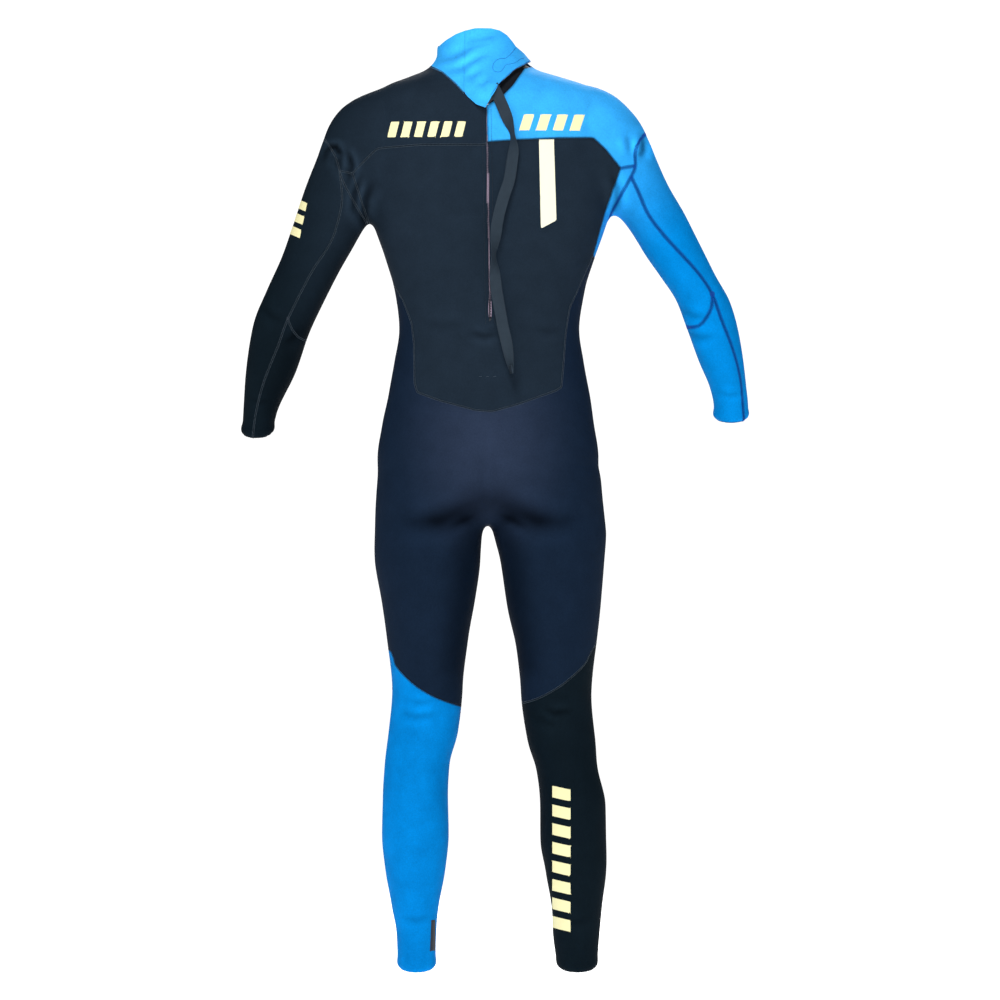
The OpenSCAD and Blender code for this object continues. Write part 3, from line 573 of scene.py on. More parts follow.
# ---------------------------------------------------------------- areas of the suit, as outlines in x and z
def zip_x(z):
    return ZIP_TOP[0] + (ZIP_TOP[1] - z) / (ZIP_TOP[1] - ZIP_END[1]) * (ZIP_END[0] - ZIP_TOP[0])


def slot_outline():
    """The gap between the zip's edges, with the small lens that stands open at its lower end."""
    half = [(1380, 0.45), (1290, 0.5), (1280, SLOT_HALF), (1052, SLOT_HALF), (1046, 1.4), (1036, 2.4),
            (1026, 2.7), (1018, 1.8), (1010, 0.2)]
    return ([[zip_x(z) - w, z] for z, w in half] + [[zip_x(z) + w, z] for z, w in reversed(half)])


def ring_outline(centres, n=48):
    """The convex outline round two circles, each given as x, z, radius."""
    a = np.arange(n) * 2 * math.pi / n
    d = np.stack([np.cos(a), np.sin(a)], 1)
    reach = np.array([d @ np.array(c[:2]) + c[2] for c in centres])
    pick = reach.argmax(0)
    return [[centres[k][0] + centres[k][2] * v[0], centres[k][1] + centres[k][2] * v[1]]
            for k, v in zip(pick, d)]


def bar_outlines(at, turn, n, w, h, slant):
    """A row of plain slanted bars, turned about its first corner."""
    c, s = math.cos(math.radians(turn)), math.sin(math.radians(turn))
    bars = []
    for i in range(n):
        x = i * w / n
        corners = [(x, 0), (x + 0.62 * w / n, 0), (x + 0.62 * w / n + slant, h), (x + slant, h)]
        bars.append([[at[0] + c * u - s * v, at[1] + s * u + c * v] for u, v in corners])
    return bars


def arm_area(side):
    if side == LEFT:
        return ARMHOLE_LEFT + [[-186, 600], [-ASIDE, 600], [-ASIDE, 1318]]
    return ARMHOLE_RIGHT + [[184, 600], [ASIDE, 600], [ASIDE, 1330]]


def yoke_area(side):
    if side == LEFT:
        return YOKE_LEFT_HEM + [[-ASIDE, 1244], [-ASIDE, OVER], [-2, OVER]]
    return YOKE_RIGHT_HEM + [[ASIDE, 1252], [ASIDE, OVER], [-2, OVER]]


def back_area():
    return YOKE_LEFT_HEM[:5] + WING_LEFT[1:] + BACK_HEM + WING_RIGHT + YOKE_RIGHT_HEM[4::-1]


def underarm_area(side):
    if side == LEFT:
        return WING_LEFT[:3] + [[-190, 1085], [-260, 1150], [-260, 1248], [-230, 1244]]
    return WING_RIGHT[5:] + [[229, 1252], [260, 1256], [260, 1150], [190, 1085]]


def shin_area(side, face):
    if side == LEFT:
        knee = KNEE_LEFT if face == BACK else KNEE_DIP_LEFT
        return knee + [[-3, 408], [-3, -50], [-220, -50], [-220, 520]]
    knee = KNEE_RIGHT if face == BACK else KNEE_DIP_RIGHT
    return knee + [[220, 540], [220, -50], [3, -50], [3, 412]]


def knee_area(side):
    x, z = (-97, 428) if side == LEFT else (109, 430)
    return ring_outline([(x, z + 42, 34), (x, z - 32, 28)])


def chest_area():
    return [[-300, CHEST_TOP], [-300, 1060], [-140, 1040], [-60, 1004], [0, 996], [60, 1004], [140, 1040],
            [300, 1060], [300, CHEST_TOP]]


def seam_area(side):
    if side == LEFT:
        return [[-230, 1400]] + SLEEVE_LEFT + [[-ASIDE, 800], [-ASIDE, 1400]]
    return [[222, 1400]] + SLEEVE_RIGHT + [[ASIDE, 820], [ASIDE, 1400]]


def forearm_area(side):
    if side == LEFT:
        return ELBOW_LEFT + [[-200, 975], [-200, 700], [-420, 700], [-420, 1015]]
    return ELBOW_RIGHT + [[200, 1008], [200, 700], [420, 700], [420, 1053]]


def hem_height(p):
    """Height above the nearest cuff's edge, which lies a little lower behind than in front."""
    x, y, z = p[:, 0], p[:, 1], p[:, 2]
    out = np.full(len(p), 500.0)
    for where, low, middle, depth, tilt in (
            ((x < -250) & (z < 1000), 829, 21, 30, 8), ((x > 250) & (z < 1000), 853, 20, 30, 7),
            (z < KNEE_HEIGHT, 0, -5, 39, 8)):
        out = np.where(where, z - low - tilt * (1 + (y - middle) / depth), out)
    return out


def box_area(x0, z0, x1, z1):
    return [[x0, z0], [x1, z0], [x1, z1], [x0, z1]]


NECK_BACK = NECK_LEFT + NECK_RIGHT + [[84, OVER], [-105, OVER]]
NECK_IN_FRONT = NECK_FRONT + [[84, OVER], [-105, OVER]]
FLAP = ([[FLAP_SEAM_X, OVER], [90, OVER], [90, 1420]] + FLAP_EDGE[::-1]
        + [[-18, 1346], [-32, 1359], [FLAP_SEAM_X, 1366]])
PATCH = ring_outline([(18, 1406, 9), (44, 1424, 8)])
KEY_OUTLINE = [
    [43, 1436], [38, 1429], [32, 1422.5], [26, 1418.5], [18, 1418], [10, 1412.5], [7.5, 1405], [9, 1399],
    [15, 1396.5], [21, 1398.5], [25, 1404], [28, 1408.5], [36, 1410], [44, 1413], [50, 1418], [56, 1420]]
PRINTS = {
    "back_stripe": [[[79, 1292], [102, 1292], [106, 1167], [82, 1154]]],
    "back_mark_left": bar_outlines((-156, 1296), 0, 6, 124, 24, 6),
    "back_mark_right": bar_outlines((48, 1306), 0, 4, 104, 25, 8),
    "sleeve_mark": bar_outlines((-292, 1140), 78, 3, 64, 22, 5),
    "calf_mark": bar_outlines((128, 64), 90, 8, 232, 28, 6),
    "ankle_mark": [[[-90, 34], [-82, 34], [-82, 82], [-88, 82]]],
    "elbow_spots": [ring_outline([(348, 1053, 3.8), (348, 1054, 3.8)], 24),
                    ring_outline([(-310, 1015, 2.6), (-310, 1016, 2.6)], 24)],
}


def inside(xz, outline):
    """Which points lie inside a closed outline."""
    p = np.array(outline, float)
    q = np.roll(p, -1, 0)
    x, z = xz[:, 0], xz[:, 1]
    odd = np.zeros(len(xz), bool)
    for (x0, z0), (x1, z1) in zip(p, q):
        if z0 != z1:
            odd ^= ((z0 > z) != (z1 > z)) & (x < (x1 - x0) * (z - z0) / (z1 - z0) + x0)
    return odd


def signed_distance(xz, outline):
    """Distance to a closed outline, below zero inside it."""
    gap, _ = line_distance(xz, list(outline) + [outline[0]])
    return np.where(inside(xz, outline), -gap, gap)


# ---------------------------------------------------------------- cutting the skin along the seams
class Skin:
    """The skin's points with their normals, its triangles, and the side that each triangle is on."""

    def __init__(self, co, tri):
        self.points = np.concatenate([co, normals_of(co, tri)], 1)
        self.tri = tri
        self.side = np.zeros(len(tri), int)
        self.cut(lambda p: p[:, 1], (0,), None, 0.3)
        self.side = np.where(self.points[self.tri, 1].mean(1) < 0, BACK, FRONT)

    def cut(self, field, levels, side, snap=0.2):
        """Splits the triangles of one side where the field passes each level."""
        value = field(self.points)
        for level in levels:
            f = np.where(np.abs(value - level) < snap, 0, value - level)
            low, high = f[self.tri].min(1), f[self.tri].max(1)
            passed = (low < 0) & (high > 0)
            tri, own, n = self.tri[passed], self.side[passed], len(self.points)
            ends = triangle_ends(tri)
            key = ends[:, 0] * n + ends[:, 1]
            crossing = f[ends[:, 0]] * f[ends[:, 1]] < 0
            if side is not None:
                crossing &= np.tile(own == side, 3)
            if not crossing.any():
                continue
            marked = np.unique(key[crossing])
            a, b = marked // n, marked % n
            t = (f[a] / (f[a] - f[b]))[:, None]
            new = self.points[a] * (1 - t) + self.points[b] * t
            self.points = np.concatenate([self.points, new])
            value = np.concatenate([value, field(new)])
            at = np.minimum(np.searchsorted(marked, key), len(marked) - 1)
            middle = np.where(marked[at] == key, n + at, -1).reshape(3, -1).T
            pieces, sides = self.split(tri, own, middle)
            self.tri = np.concatenate([self.tri[~passed]] + pieces)
            self.side = np.concatenate([self.side[~passed]] + sides)

    def split(self, tri, side, middle):
        """The triangles whose edges carry new middle points, in smaller ones."""
        count = (middle >= 0).sum(1)
        out, sides = [tri[count == 0]], [side[count == 0]]
        for k in range(3):
            order = [k, (k + 1) % 3, (k + 2) % 3]
            one = (count == 1) & (middle[:, k] >= 0)
            v, m = tri[one][:, order], middle[one, k]
            out += [np.stack([v[:, 0], m, v[:, 2]], 1), np.stack([m, v[:, 1], v[:, 2]], 1)]
            sides += [side[one]] * 2
            two = (count == 2) & (middle[:, k] < 0)
            v = tri[two][:, order]
            m1, m2 = middle[two, order[1]], middle[two, order[2]]
            p = self.points[:, :3]
            first = np.linalg.norm(p[v[:, 0]] - p[m1], axis=1) < np.linalg.norm(p[v[:, 1]] - p[m2], axis=1)
            short = first[:, None]
            out += [np.stack([v[:, 2], m2, m1], 1),
                    np.stack([v[:, 0], v[:, 1], np.where(first, m1, m2)], 1),
                    np.where(short, np.stack([v[:, 0], m1, m2], 1), np.stack([v[:, 1], m1, m2], 1))]
            sides += [side[two]] * 3
        three = count == 3
        v, m = tri[three], middle[three]
        out += [np.stack([v[:, 0], m[:, 0], m[:, 2]], 1), np.stack([v[:, 1], m[:, 1], m[:, 0]], 1),
                np.stack([v[:, 2], m[:, 2], m[:, 1]], 1), m]
        sides += [side[three]] * 4
        return out, sides

    def cut_outline(self, outline, levels, sides):
        for side in sides:
            self.cut(lambda p: signed_distance(p[:, [0, 2]], outline), levels, side)

    def centres(self):
        return self.points[self.tri, :3].mean(1)


LOOPS = (0, -1.5, 1.5, -3.8, 3.8)
BOTH = (BACK, FRONT)


def cut_panels(skin):
    """Cuts the skin along every seam and print, and names the panel of each triangle."""
    skin.cut_outline(slot_outline(), LOOPS, (BACK,))
    for side in (LEFT, RIGHT):
        skin.cut_outline(arm_area(side), LOOPS, BOTH)
        skin.cut_outline(yoke_area(side), LOOPS, (BACK,))
        skin.cut_outline(underarm_area(side), LOOPS, BOTH)
        skin.cut_outline(seam_area(side), LOOPS, BOTH)
        skin.cut_outline(forearm_area(side), LOOPS, BOTH)
        for face in BOTH:
            skin.cut_outline(shin_area(side, face), LOOPS, (face,))
        skin.cut_outline(knee_area(side), LOOPS, (FRONT,))
    skin.cut_outline(back_area(), LOOPS, (BACK,))
    skin.cut_outline(chest_area(), LOOPS, (FRONT,))
    skin.cut_outline(NECK_BACK, LOOPS, (BACK,))
    skin.cut_outline(NECK_IN_FRONT, LOOPS, (FRONT,))
    skin.cut_outline(FLAP, LOOPS, (BACK,))
    skin.cut_outline(ABOVE_RIM_BACK, (0, 1.5, 3.8), (BACK,))
    skin.cut_outline(ABOVE_RIM_FRONT, (0, 1.5, 3.8), (FRONT,))
    skin.cut(lambda p: p[:, 0], (0,), FRONT)
    skin.cut(hem_height, (0, 1.2, 2.6, 4.5, 14, 15.5), None)
    for outlines in PRINTS.values():
        for outline in outlines:
            skin.cut_outline(outline, (0,), (BACK,))
    skin.cut_outline(PATCH, (0,), (BACK,))
    return panel_names(skin)


def panel_names(skin):
    c = skin.centres()
    xz, x, z = c[:, [0, 2]], c[:, 0], c[:, 2]
    behind = skin.side == BACK
    name = np.where(behind, "seat_panel", "front_panel").astype("<U24")
    for side, word in ((LEFT, "left"), (RIGHT, "right")):
        half = x * side > 0
        shin = np.where(behind, inside(xz, shin_area(side, BACK)), inside(xz, shin_area(side, FRONT)))
        name[shin & half] = "lower_leg_" + word
        name[~behind & inside(xz, knee_area(side))] = "knee_pad_" + word
    name[~behind & inside(xz, chest_area())] = "chest_panel"
    for side, word in ((LEFT, "left"), (RIGHT, "right")):
        name[inside(xz, underarm_area(side))] = "underarm_" + word
    name[behind & inside(xz, back_area())] = "back_panel"
    for side, word in ((LEFT, "left"), (RIGHT, "right")):
        left_of_zip = np.where(behind, x < zip_x(z), x < 0)
        half = left_of_zip if side == LEFT else ~left_of_zip
        name[behind & half & inside(xz, yoke_area(side))] = "yoke_" + word
        name[~behind & half & (z > CHEST_TOP)] = "yoke_" + word
        arm = inside(xz, arm_area(side))
        outer = inside(xz, seam_area(side))
        name[arm & ~outer] = "sleeve_under_" + word
        name[arm & ~outer & inside(xz, forearm_area(side))] = "forearm_under_" + word
        name[arm & outer] = "sleeve_outer_" + word
    neck = behind & inside(xz, NECK_BACK)
    name[neck] = "neck_seal"
    name[neck & (x < FLAP_SEAM_X)] = "collar"
    name[neck & (x >= FLAP_SEAM_X) & inside(xz, FLAP)] = "collar_flap"
    name[~behind & inside(xz, NECK_IN_FRONT)] = "collar"
    gone = (hem_height(c) < 0) | (behind & inside(xz, ABOVE_RIM_BACK))
    gone |= ~behind & inside(xz, ABOVE_RIM_FRONT)
    gone |= behind & inside(xz, slot_outline()) & ~neck
    name[gone] = ""
    return name


def seam_edges(skin, name):
    """The panels' names, each triangle side's sorted key and panel, and where two panels share a side."""
    ends = triangle_ends(skin.tri)
    key = ends[:, 0] * len(skin.points) + ends[:, 1]
    words, code = np.unique(name, return_inverse=True)
    order = np.argsort(key, kind="stable")
    key, label = key[order], np.tile(code, 3)[order]
    at = np.nonzero((key[1:] == key[:-1]) & (label[1:] != label[:-1]))[0]
    return words, key, label, at


def seam_distance(skin, name):
    """Distance from each point to the nearest seam or open edge."""
    n = len(skin.points)
    _, key, _, at = seam_edges(skin, name)
    seam = np.unique(key[at + 1])
    a, b = skin.points[seam // n, :3], skin.points[seam % n, :3]
    along = np.concatenate([a + (b - a) * t for t in (0, 0.25, 0.5, 0.75)])
    tree = KDTree(len(along))
    for i, p in enumerate(along):
        tree.insert(p, i)
    tree.balance()
    return np.array([tree.find(p)[2] for p in skin.points[:, :3]])


# ---------------------------------------------------------------- materials
SPECKLE_FINE, SPECKLE_SLOW, SPECKLE_BASE = 0.55, 0.36, 0.545  # parts of the cloth's brightness
CREASE_DARK = 0.74  # share of the colour that the painted shade takes away in the deepest fold
CLOTH_IOR, CLOTH_SPECULAR = 1.12, 0.12
# almost black colour of the painted shade in a gap
PAINTED_GAP_SHADE = (0.006, 0.008, 0.012)


class Shader:
    """The nodes of one new material, around its Principled BSDF."""

    def __init__(self, name):
        self.mat = bpy.data.materials.new(name)
        self.mat.use_nodes = True
        self.nodes = self.mat.node_tree.nodes
        self.bsdf = self.nodes["Principled BSDF"].inputs
        self.where = self.nodes.new("ShaderNodeTexCoord").outputs["Object"]

    def fill(self, inputs, values):
        """Sets each named input to a constant, or links another node's output to it."""
        for key, value in values.items():
            if isinstance(value, bpy.types.NodeSocket):
                self.mat.node_tree.links.new(value, inputs[key])
            elif inputs[key].type == "RGBA":
                inputs[key].default_value = (*value, 1)
            else:
                inputs[key].default_value = value

    def maths(self, operation, a, b):
        node = self.nodes.new("ShaderNodeMath")
        node.operation = operation
        self.fill(node.inputs, {0: a, 1: b})
        return node.outputs[0]

    def plus(self, a, b):
        return self.maths("ADD", a, b)

    def times(self, a, b):
        return self.maths("MULTIPLY", a, b)

    def vector_maths(self, operation, values):
        node = self.nodes.new("ShaderNodeVectorMath")
        node.operation = operation
        self.fill(node.inputs, values)
        return node.outputs

    def mix(self, factor, first, second):
        node = self.nodes.new("ShaderNodeMix")
        node.data_type = "RGBA"
        self.fill(node.inputs, {"Factor": factor, "A": first, "B": second})
        return node.outputs["Result"]

    def noise(self, scale, detail=3.0, rough=0.5):
        tex = self.nodes.new("ShaderNodeTexNoise")
        self.fill(tex.inputs, {"Vector": self.where, "Scale": scale, "Detail": detail, "Roughness": rough})
        return tex.outputs["Fac"]

    def wave(self, pitch, direction, distortion=0.0):
        """Fine ribs with the given pitch in metres."""
        tex = self.nodes.new("ShaderNodeTexWave")
        tex.bands_direction = direction
        self.fill(tex.inputs, {"Vector": self.where, "Scale": 2 * math.pi / 20 / pitch,
                               "Distortion": distortion, "Detail": 0})
        return tex.outputs["Fac"]

    def away_from(self, centre, stretch, near, far):
        """0 within near of a centre, rising to 1 at far; stretch makes the distance count more on an axis."""
        gap = self.vector_maths("SUBTRACT", {0: self.where, 1: centre})[0]
        scaled = self.vector_maths("MULTIPLY", {0: gap, 1: stretch})[0]
        size = self.vector_maths("LENGTH", {0: scaled})["Value"]
        reach = self.nodes.new("ShaderNodeMapRange")
        reach.interpolation_type = "SMOOTHSTEP"
        self.fill(reach.inputs, {"From Min": near, "From Max": far, "Value": size})
        return reach.outputs["Result"]

    def bump(self, height, strength, depth):
        node = self.nodes.new("ShaderNodeBump")
        self.fill(node.inputs, {"Strength": strength, "Distance": depth, "Height": height})
        self.fill(self.bsdf, {"Normal": node.outputs["Normal"]})


def cloth(name, colour, far_colour, painted_light=None, roughness=0.62, sheen=0.0, pitch=0.9 * MM, depth=0.12 * MM,
          mottle=34):
    """Knitted nylon face: rows of loops, a painted pool of light that fades away from a centre into the
    darker far colour, and painted shade in the folds with painted highlights on the rolls beside them.
    """
    s = Shader(name)
    slow = s.noise(mottle, 4)
    # painted pool of light: the colour near the centre fades into the darker far colour away from it; without
    # a centre, a slow random mottle of the two
    base = s.mix(s.away_from(*painted_light) if painted_light else slow, colour, far_colour)
    grain = s.noise(420, 3, 0.7)
    speckle = s.plus(s.times(grain, SPECKLE_FINE), s.plus(s.times(slow, SPECKLE_SLOW), SPECKLE_BASE))
    # the painted shade of each point, from crease_shade: darker in folds, lighter on the rolls beside them
    painted_fold_shade = s.nodes.new("ShaderNodeAttribute")
    painted_fold_shade.attribute_name = "painted_fold_shade"
    open_cloth = s.maths("SUBTRACT", 1.0, s.times(painted_fold_shade.outputs["Fac"], CREASE_DARK))
    shade = s.times(speckle, open_cloth)
    loops = s.times(s.wave(pitch, "X"), s.wave(pitch * 0.8, "Z"))
    pebbles = s.times(s.noise(260, 2), 1.3)
    s.bump(s.plus(loops, pebbles), 0.6, depth)
    s.fill(s.bsdf, {"Base Color": s.vector_maths("SCALE", {0: base, "Scale": shade})[0],
                    "Roughness": s.plus(s.times(slow, 0.12), roughness - 0.06),
                    "Sheen Weight": sheen, "Sheen Roughness": 0.45,
                    "IOR": CLOTH_IOR, "Specular IOR Level": CLOTH_SPECULAR})
    return s.mat


def solid(name, colour, shade, roughness, metallic=0.0, depth=0.05 * MM, scale=700, gap=None):
    """Moulded plastic, rubber or metal with slight unevenness; gap is a spot of painted shade, where the
    colour turns almost black.
    """
    s = Shader(name)
    grain = s.noise(scale, 4, 0.6)
    base = s.mix(grain, colour, shade)
    # painted shade: the colour turns almost black within the gap's ellipse
    if gap:
        base = s.mix(s.away_from(*gap), PAINTED_GAP_SHADE, base)
    s.bump(grain, 0.4, depth)
    s.fill(s.bsdf, {"Base Color": base, "Roughness": s.plus(s.times(grain, 0.2), roughness - 0.1),
                    "Metallic": metallic, "Specular IOR Level": 0.5 if metallic else 0.15})
    return s.mat


def webbing(name, colour, shade):
    """Flat woven strap: a herringbone of short slanted floats."""
    s = Shader(name)
    weave = s.times(s.wave(1.5 * MM, "X", 0.4), s.wave(1.1 * MM, "Z", 0.4))
    dull = s.plus(s.times(weave, 0.6), s.times(s.noise(60, 3), 0.4))
    s.bump(weave, 0.8, 0.2 * MM)
    s.fill(s.bsdf, {"Base Color": s.mix(dull, shade, colour), "Roughness": 0.7, "IOR": 1.25})
    return s.mat


# Painted pools of light on the cloth, bright at a centre and fading into the darker far colour away from it,
# for light that falls off across the suit. Centre, weight of each axis, and the distances at which a fade
# starts and ends
BLACK_PAINTED_LIGHT = ((0, -0.10, -0.26), (1.7, 0.5, 0.8), 0.24, 0.62)
NAVY_PAINTED_LIGHT = ((0, -0.12, -0.58), (1.4, 0.5, 1.0), 0.0, 0.23)
BLUE_PAINTED_LIGHT = ((0.04, -0.10, -0.04), (1.0, 0.3, 1.0), 0.10, 0.36)
# Painted shade on the teeth where the gap between them stands open at the zip's lower end
TEETH_GAP_SHADE = ((0.0029, -0.095, -0.390), (1, 0, 0.06), 0.0009, 0.0013)
MATS = {
    "black": cloth("neoprene_black", (0.0105, 0.0185, 0.0300), (0.0036, 0.0078, 0.0120), BLACK_PAINTED_LIGHT),
    "navy": cloth("neoprene_navy", (0.0200, 0.0310, 0.0600), (0.0056, 0.0128, 0.0280), NAVY_PAINTED_LIGHT),
    "blue": cloth("neoprene_blue", (0.034, 0.350, 0.800), (0.0003, 0.190, 0.545), BLUE_PAINTED_LIGHT),
    # lower left leg: the same blue neoprene, in about the colour that the blue's painted pool of light fades
    # to, with no pool of its own
    "deep_blue": cloth("neoprene_deep_blue", (0.0004, 0.165, 0.50), (0.0006, 0.195, 0.56)),
    "lining": cloth("lining", (0.012, 0.014, 0.018), (0.024, 0.027, 0.033), None, 0.9, 0.2, 1.6 * MM,
                    0.3 * MM),
    "seal": cloth("smooth_seal", (0.006, 0.008, 0.011), (0.012, 0.014, 0.018), None, 0.5, 0.05),
    "rubber": cloth("knee_rubber", (0.006, 0.008, 0.012), (0.012, 0.015, 0.021), None, 0.6, 0, 1.6 * MM,
                    0.3 * MM),
    "cream": solid("print_cream", (0.76, 0.71, 0.38), (0.82, 0.77, 0.45), 0.6, 0, 0.1 * MM, 900),
    "pale_cream": solid("stripe_cream", (0.74, 0.73, 0.55), (0.80, 0.79, 0.62), 0.6, 0, 0.1 * MM, 900),
    "dark_print": solid("print_dark", (0.006, 0.010, 0.018), (0.012, 0.018, 0.030), 0.5),
    "dot": solid("spot_blue", (0.002, 0.05, 0.25), (0.004, 0.07, 0.32), 0.5),
    "hem": cloth("hem_tape", (0.010, 0.012, 0.016), (0.020, 0.022, 0.028), None, 0.8, 0.2),
    "hook": cloth("hook_loop", (0.010, 0.012, 0.016), (0.030, 0.034, 0.042), None, 0.95, 0.5, 1.2 * MM,
                  0.5 * MM, 400),
    "tape": webbing("zip_tape", (0.016, 0.020, 0.028), (0.006, 0.008, 0.012)),
    "teeth": solid("zip_teeth", (0.30, 0.23, 0.31), (0.40, 0.31, 0.42), 0.45, gap=TEETH_GAP_SHADE),
    "metal": solid("slider_metal", (0.30, 0.31, 0.34), (0.40, 0.41, 0.44), 0.35, 0.9),
    "puller": solid("puller_plastic", (0.020, 0.024, 0.032), (0.032, 0.036, 0.046), 0.45),
    "strap": webbing("webbing", (0.028, 0.046, 0.066), (0.009, 0.016, 0.025)),
    "thread_grey": solid("thread_grey", (0.055, 0.080, 0.105), (0.085, 0.115, 0.145), 0.6),
    "thread_dark": solid("thread_dark", (0.008, 0.012, 0.018), (0.014, 0.020, 0.030), 0.6),
    "thread_blue": solid("thread_blue", (0.0005, 0.05, 0.32), (0.001, 0.07, 0.40), 0.6),
    "thread_slate": solid("thread_slate", (0.07, 0.16, 0.30), (0.10, 0.20, 0.36), 0.6),
}


# ---------------------------------------------------------------- pieces
def place(points):
    """Millimetres from the hems to the frame's metres."""
    return (points - np.array([0, 0, NECK_Z])) * MM


def mesh_piece(name, verts, faces, mats, material_index=None, sharp=None, smooth=True, painted_fold_shade=None):
    """verts in mm from the hems; sharp holds pairs of points whose edges stay crisp; the last argument holds
    each point's painted shade.
    """
    mesh = bpy.data.meshes.new(name)
    mesh.from_pydata(place(np.asarray(verts, float)).tolist(), [], [list(map(int, f)) for f in faces])
    for key in mats:
        mesh.materials.append(MATS[key])
    mesh.polygons.foreach_set("use_smooth", [smooth] * len(mesh.polygons))
    if material_index is not None:
        mesh.polygons.foreach_set("material_index", material_index)
    if sharp is not None and len(sharp):
        ends = np.empty(len(mesh.edges) * 2, np.int64)
        mesh.edges.foreach_get("vertices", ends)
        ends = np.sort(ends.reshape(-1, 2), 1)
        n = len(verts)
        pairs = np.sort(np.asarray(sharp), 1)
        crisp = np.isin(ends[:, 0] * n + ends[:, 1], pairs[:, 0] * n + pairs[:, 1])
        layer = mesh.attributes.new("sharp_edge", "BOOLEAN", "EDGE")
        layer.data.foreach_set("value", crisp)
    if painted_fold_shade is not None:
        mesh.attributes.new("painted_fold_shade", "FLOAT", "POINT").data.foreach_set("value", painted_fold_shade)
    mesh.update()
    ob = bpy.data.objects.new(name, mesh)
    bpy.context.collection.objects.link(ob)
    return ob


def shell(name, skin, mask, outer, inner, mats, dark=None):
    """A closed sheet over the masked triangles, from the inner to the outer offset of each point."""
    used, index = np.unique(skin.tri[mask], return_inverse=True)
    index = index.reshape(-1, 3)
    n = len(used)
    p, normal = skin.points[used, :3], skin.points[used, 3:]
    normal = normal / np.maximum(np.linalg.norm(normal, axis=1), 1e-9)[:, None]
    verts = np.concatenate([p + normal * outer[used][:, None], p + normal * inner[used][:, None]])
    edges = np.concatenate([index[:, [0, 1]], index[:, [1, 2]], index[:, [2, 0]]])
    forward, backward = edges[:, 0] * n + edges[:, 1], edges[:, 1] * n + edges[:, 0]
    rim = edges[~np.isin(forward, backward)]
    walls = np.stack([rim[:, 1], rim[:, 0], rim[:, 0] + n, rim[:, 1] + n], 1)
    faces = index.tolist() + (index[:, ::-1] + n).tolist() + walls.tolist()
    which = [0] * len(index) + [1] * (len(index) + len(walls))
    # painted shade of each point: dark in folds, lighter on the rolls beside them, broad painted shade on the
    # back
    painted_shade = crease_shade(p, normal)
    # dark: extra darkening along the seams of the blue panels, added to the painted shade
    if dark is not None:
        painted_shade += dark[used]
    painted_shade = np.clip(painted_shade, -0.8, 1)
    return mesh_piece(name, verts, faces, mats, which, np.concatenate([rim, rim + n]),
                      painted_fold_shade=np.concatenate([painted_shade, painted_shade]))


# ---------------------------------------------------------------- stitches
def seam_chains(skin, name):
    """Runs of seam points, each with the two panels that it joins."""
    n = len(skin.points)
    words, key, label, at = seam_edges(skin, name)
    pairs = {}
    for i in at:
        names = tuple(sorted((words[label[i]], words[label[i + 1]])))
        pairs.setdefault(names, []).append((int(key[i] // n), int(key[i] % n)))
    for names, edges in sorted(pairs.items()):
        if names[0] == "":
            continue
        near = {}
        for a, b in edges:
            near.setdefault(a, []).append(b)
            near.setdefault(b, []).append(a)
        left = set(edges)
        starts = sorted(v for v in near if len(near[v]) != 2) + sorted(near)
        for start in starts:
            for following in near[start]:
                run = [start]
                a, b = start, following
                while (min(a, b), max(a, b)) in left:
                    left.discard((min(a, b), max(a, b)))
                    run.append(b)
                    ahead = [v for v in near[b] if (min(b, v), max(b, v)) in left]
                    if len(near[b]) != 2 or not ahead:
                        break
                    a, b = b, ahead[0]
                if len(run) > 4:
                    yield names, skin.points[run]


def resample(points, pitch):
    """Points with their normals at even steps along a run, after a light smoothing."""
    p = points.copy()
    for _ in range(3):
        p[1:-1] = 0.25 * p[:-2] + 0.5 * p[1:-1] + 0.25 * p[2:]
    along = np.concatenate([[0], np.cumsum(np.linalg.norm(np.diff(p[:, :3], axis=0), axis=1))])
    if along[-1] < 2 * pitch:
        return None
    s = np.arange(0, along[-1], pitch)
    out = np.stack([np.interp(s, along, p[:, k]) for k in range(6)], 1)
    tangent = np.gradient(out[:, :3], axis=0)
    tangent /= np.linalg.norm(tangent, axis=1)[:, None]
    normal = out[:, 3:] / np.linalg.norm(out[:, 3:], axis=1)[:, None]
    normal -= (normal * tangent).sum(1)[:, None] * tangent
    normal /= np.linalg.norm(normal, axis=1)[:, None]
    return out[:, :3], tangent, normal, np.cross(normal, tangent)


class Threads:
    """Many short threads gathered into one mesh."""

    def __init__(self):
        self.verts, self.faces, self.count = [], [], 0

    def add(self, paths, normal, radius):
        """paths: threads x points x 3; normal: threads x 3, away from the cloth."""
        n, k = paths.shape[:2]
        along = np.gradient(paths, axis=1)
        along /= np.linalg.norm(along, axis=2)[..., None]
        up = np.repeat(normal[:, None], k, 1)
        side = np.cross(along, up)
        side /= np.maximum(np.linalg.norm(side, axis=2), 1e-9)[..., None]
        section = ((1, -0.3), (0.55, 0.8), (-0.55, 0.8), (-1, -0.3))
        ring = np.stack([paths + radius * (side * c + up * s) for c, s in section], 2)
        base = self.count + np.arange(n)[:, None] * k * 4
        quads = []
        for i in range(k - 1):
            for j in range(4):
                m = (j + 1) % 4
                quads.append(base + np.array([i * 4 + j, i * 4 + m, i * 4 + 4 + m, i * 4 + 4 + j]))
        quads.append(base + np.array([3, 2, 1, 0]))
        last = (k - 1) * 4
        quads.append(base + np.array([last, last + 1, last + 2, last + 3]))
        self.verts.append(ring.reshape(-1, 3))
        self.faces.append(np.concatenate(quads))
        self.count += n * k * 4

    def piece(self, name, mat):
        return mesh_piece(name, np.concatenate(self.verts), np.concatenate(self.faces), [mat])


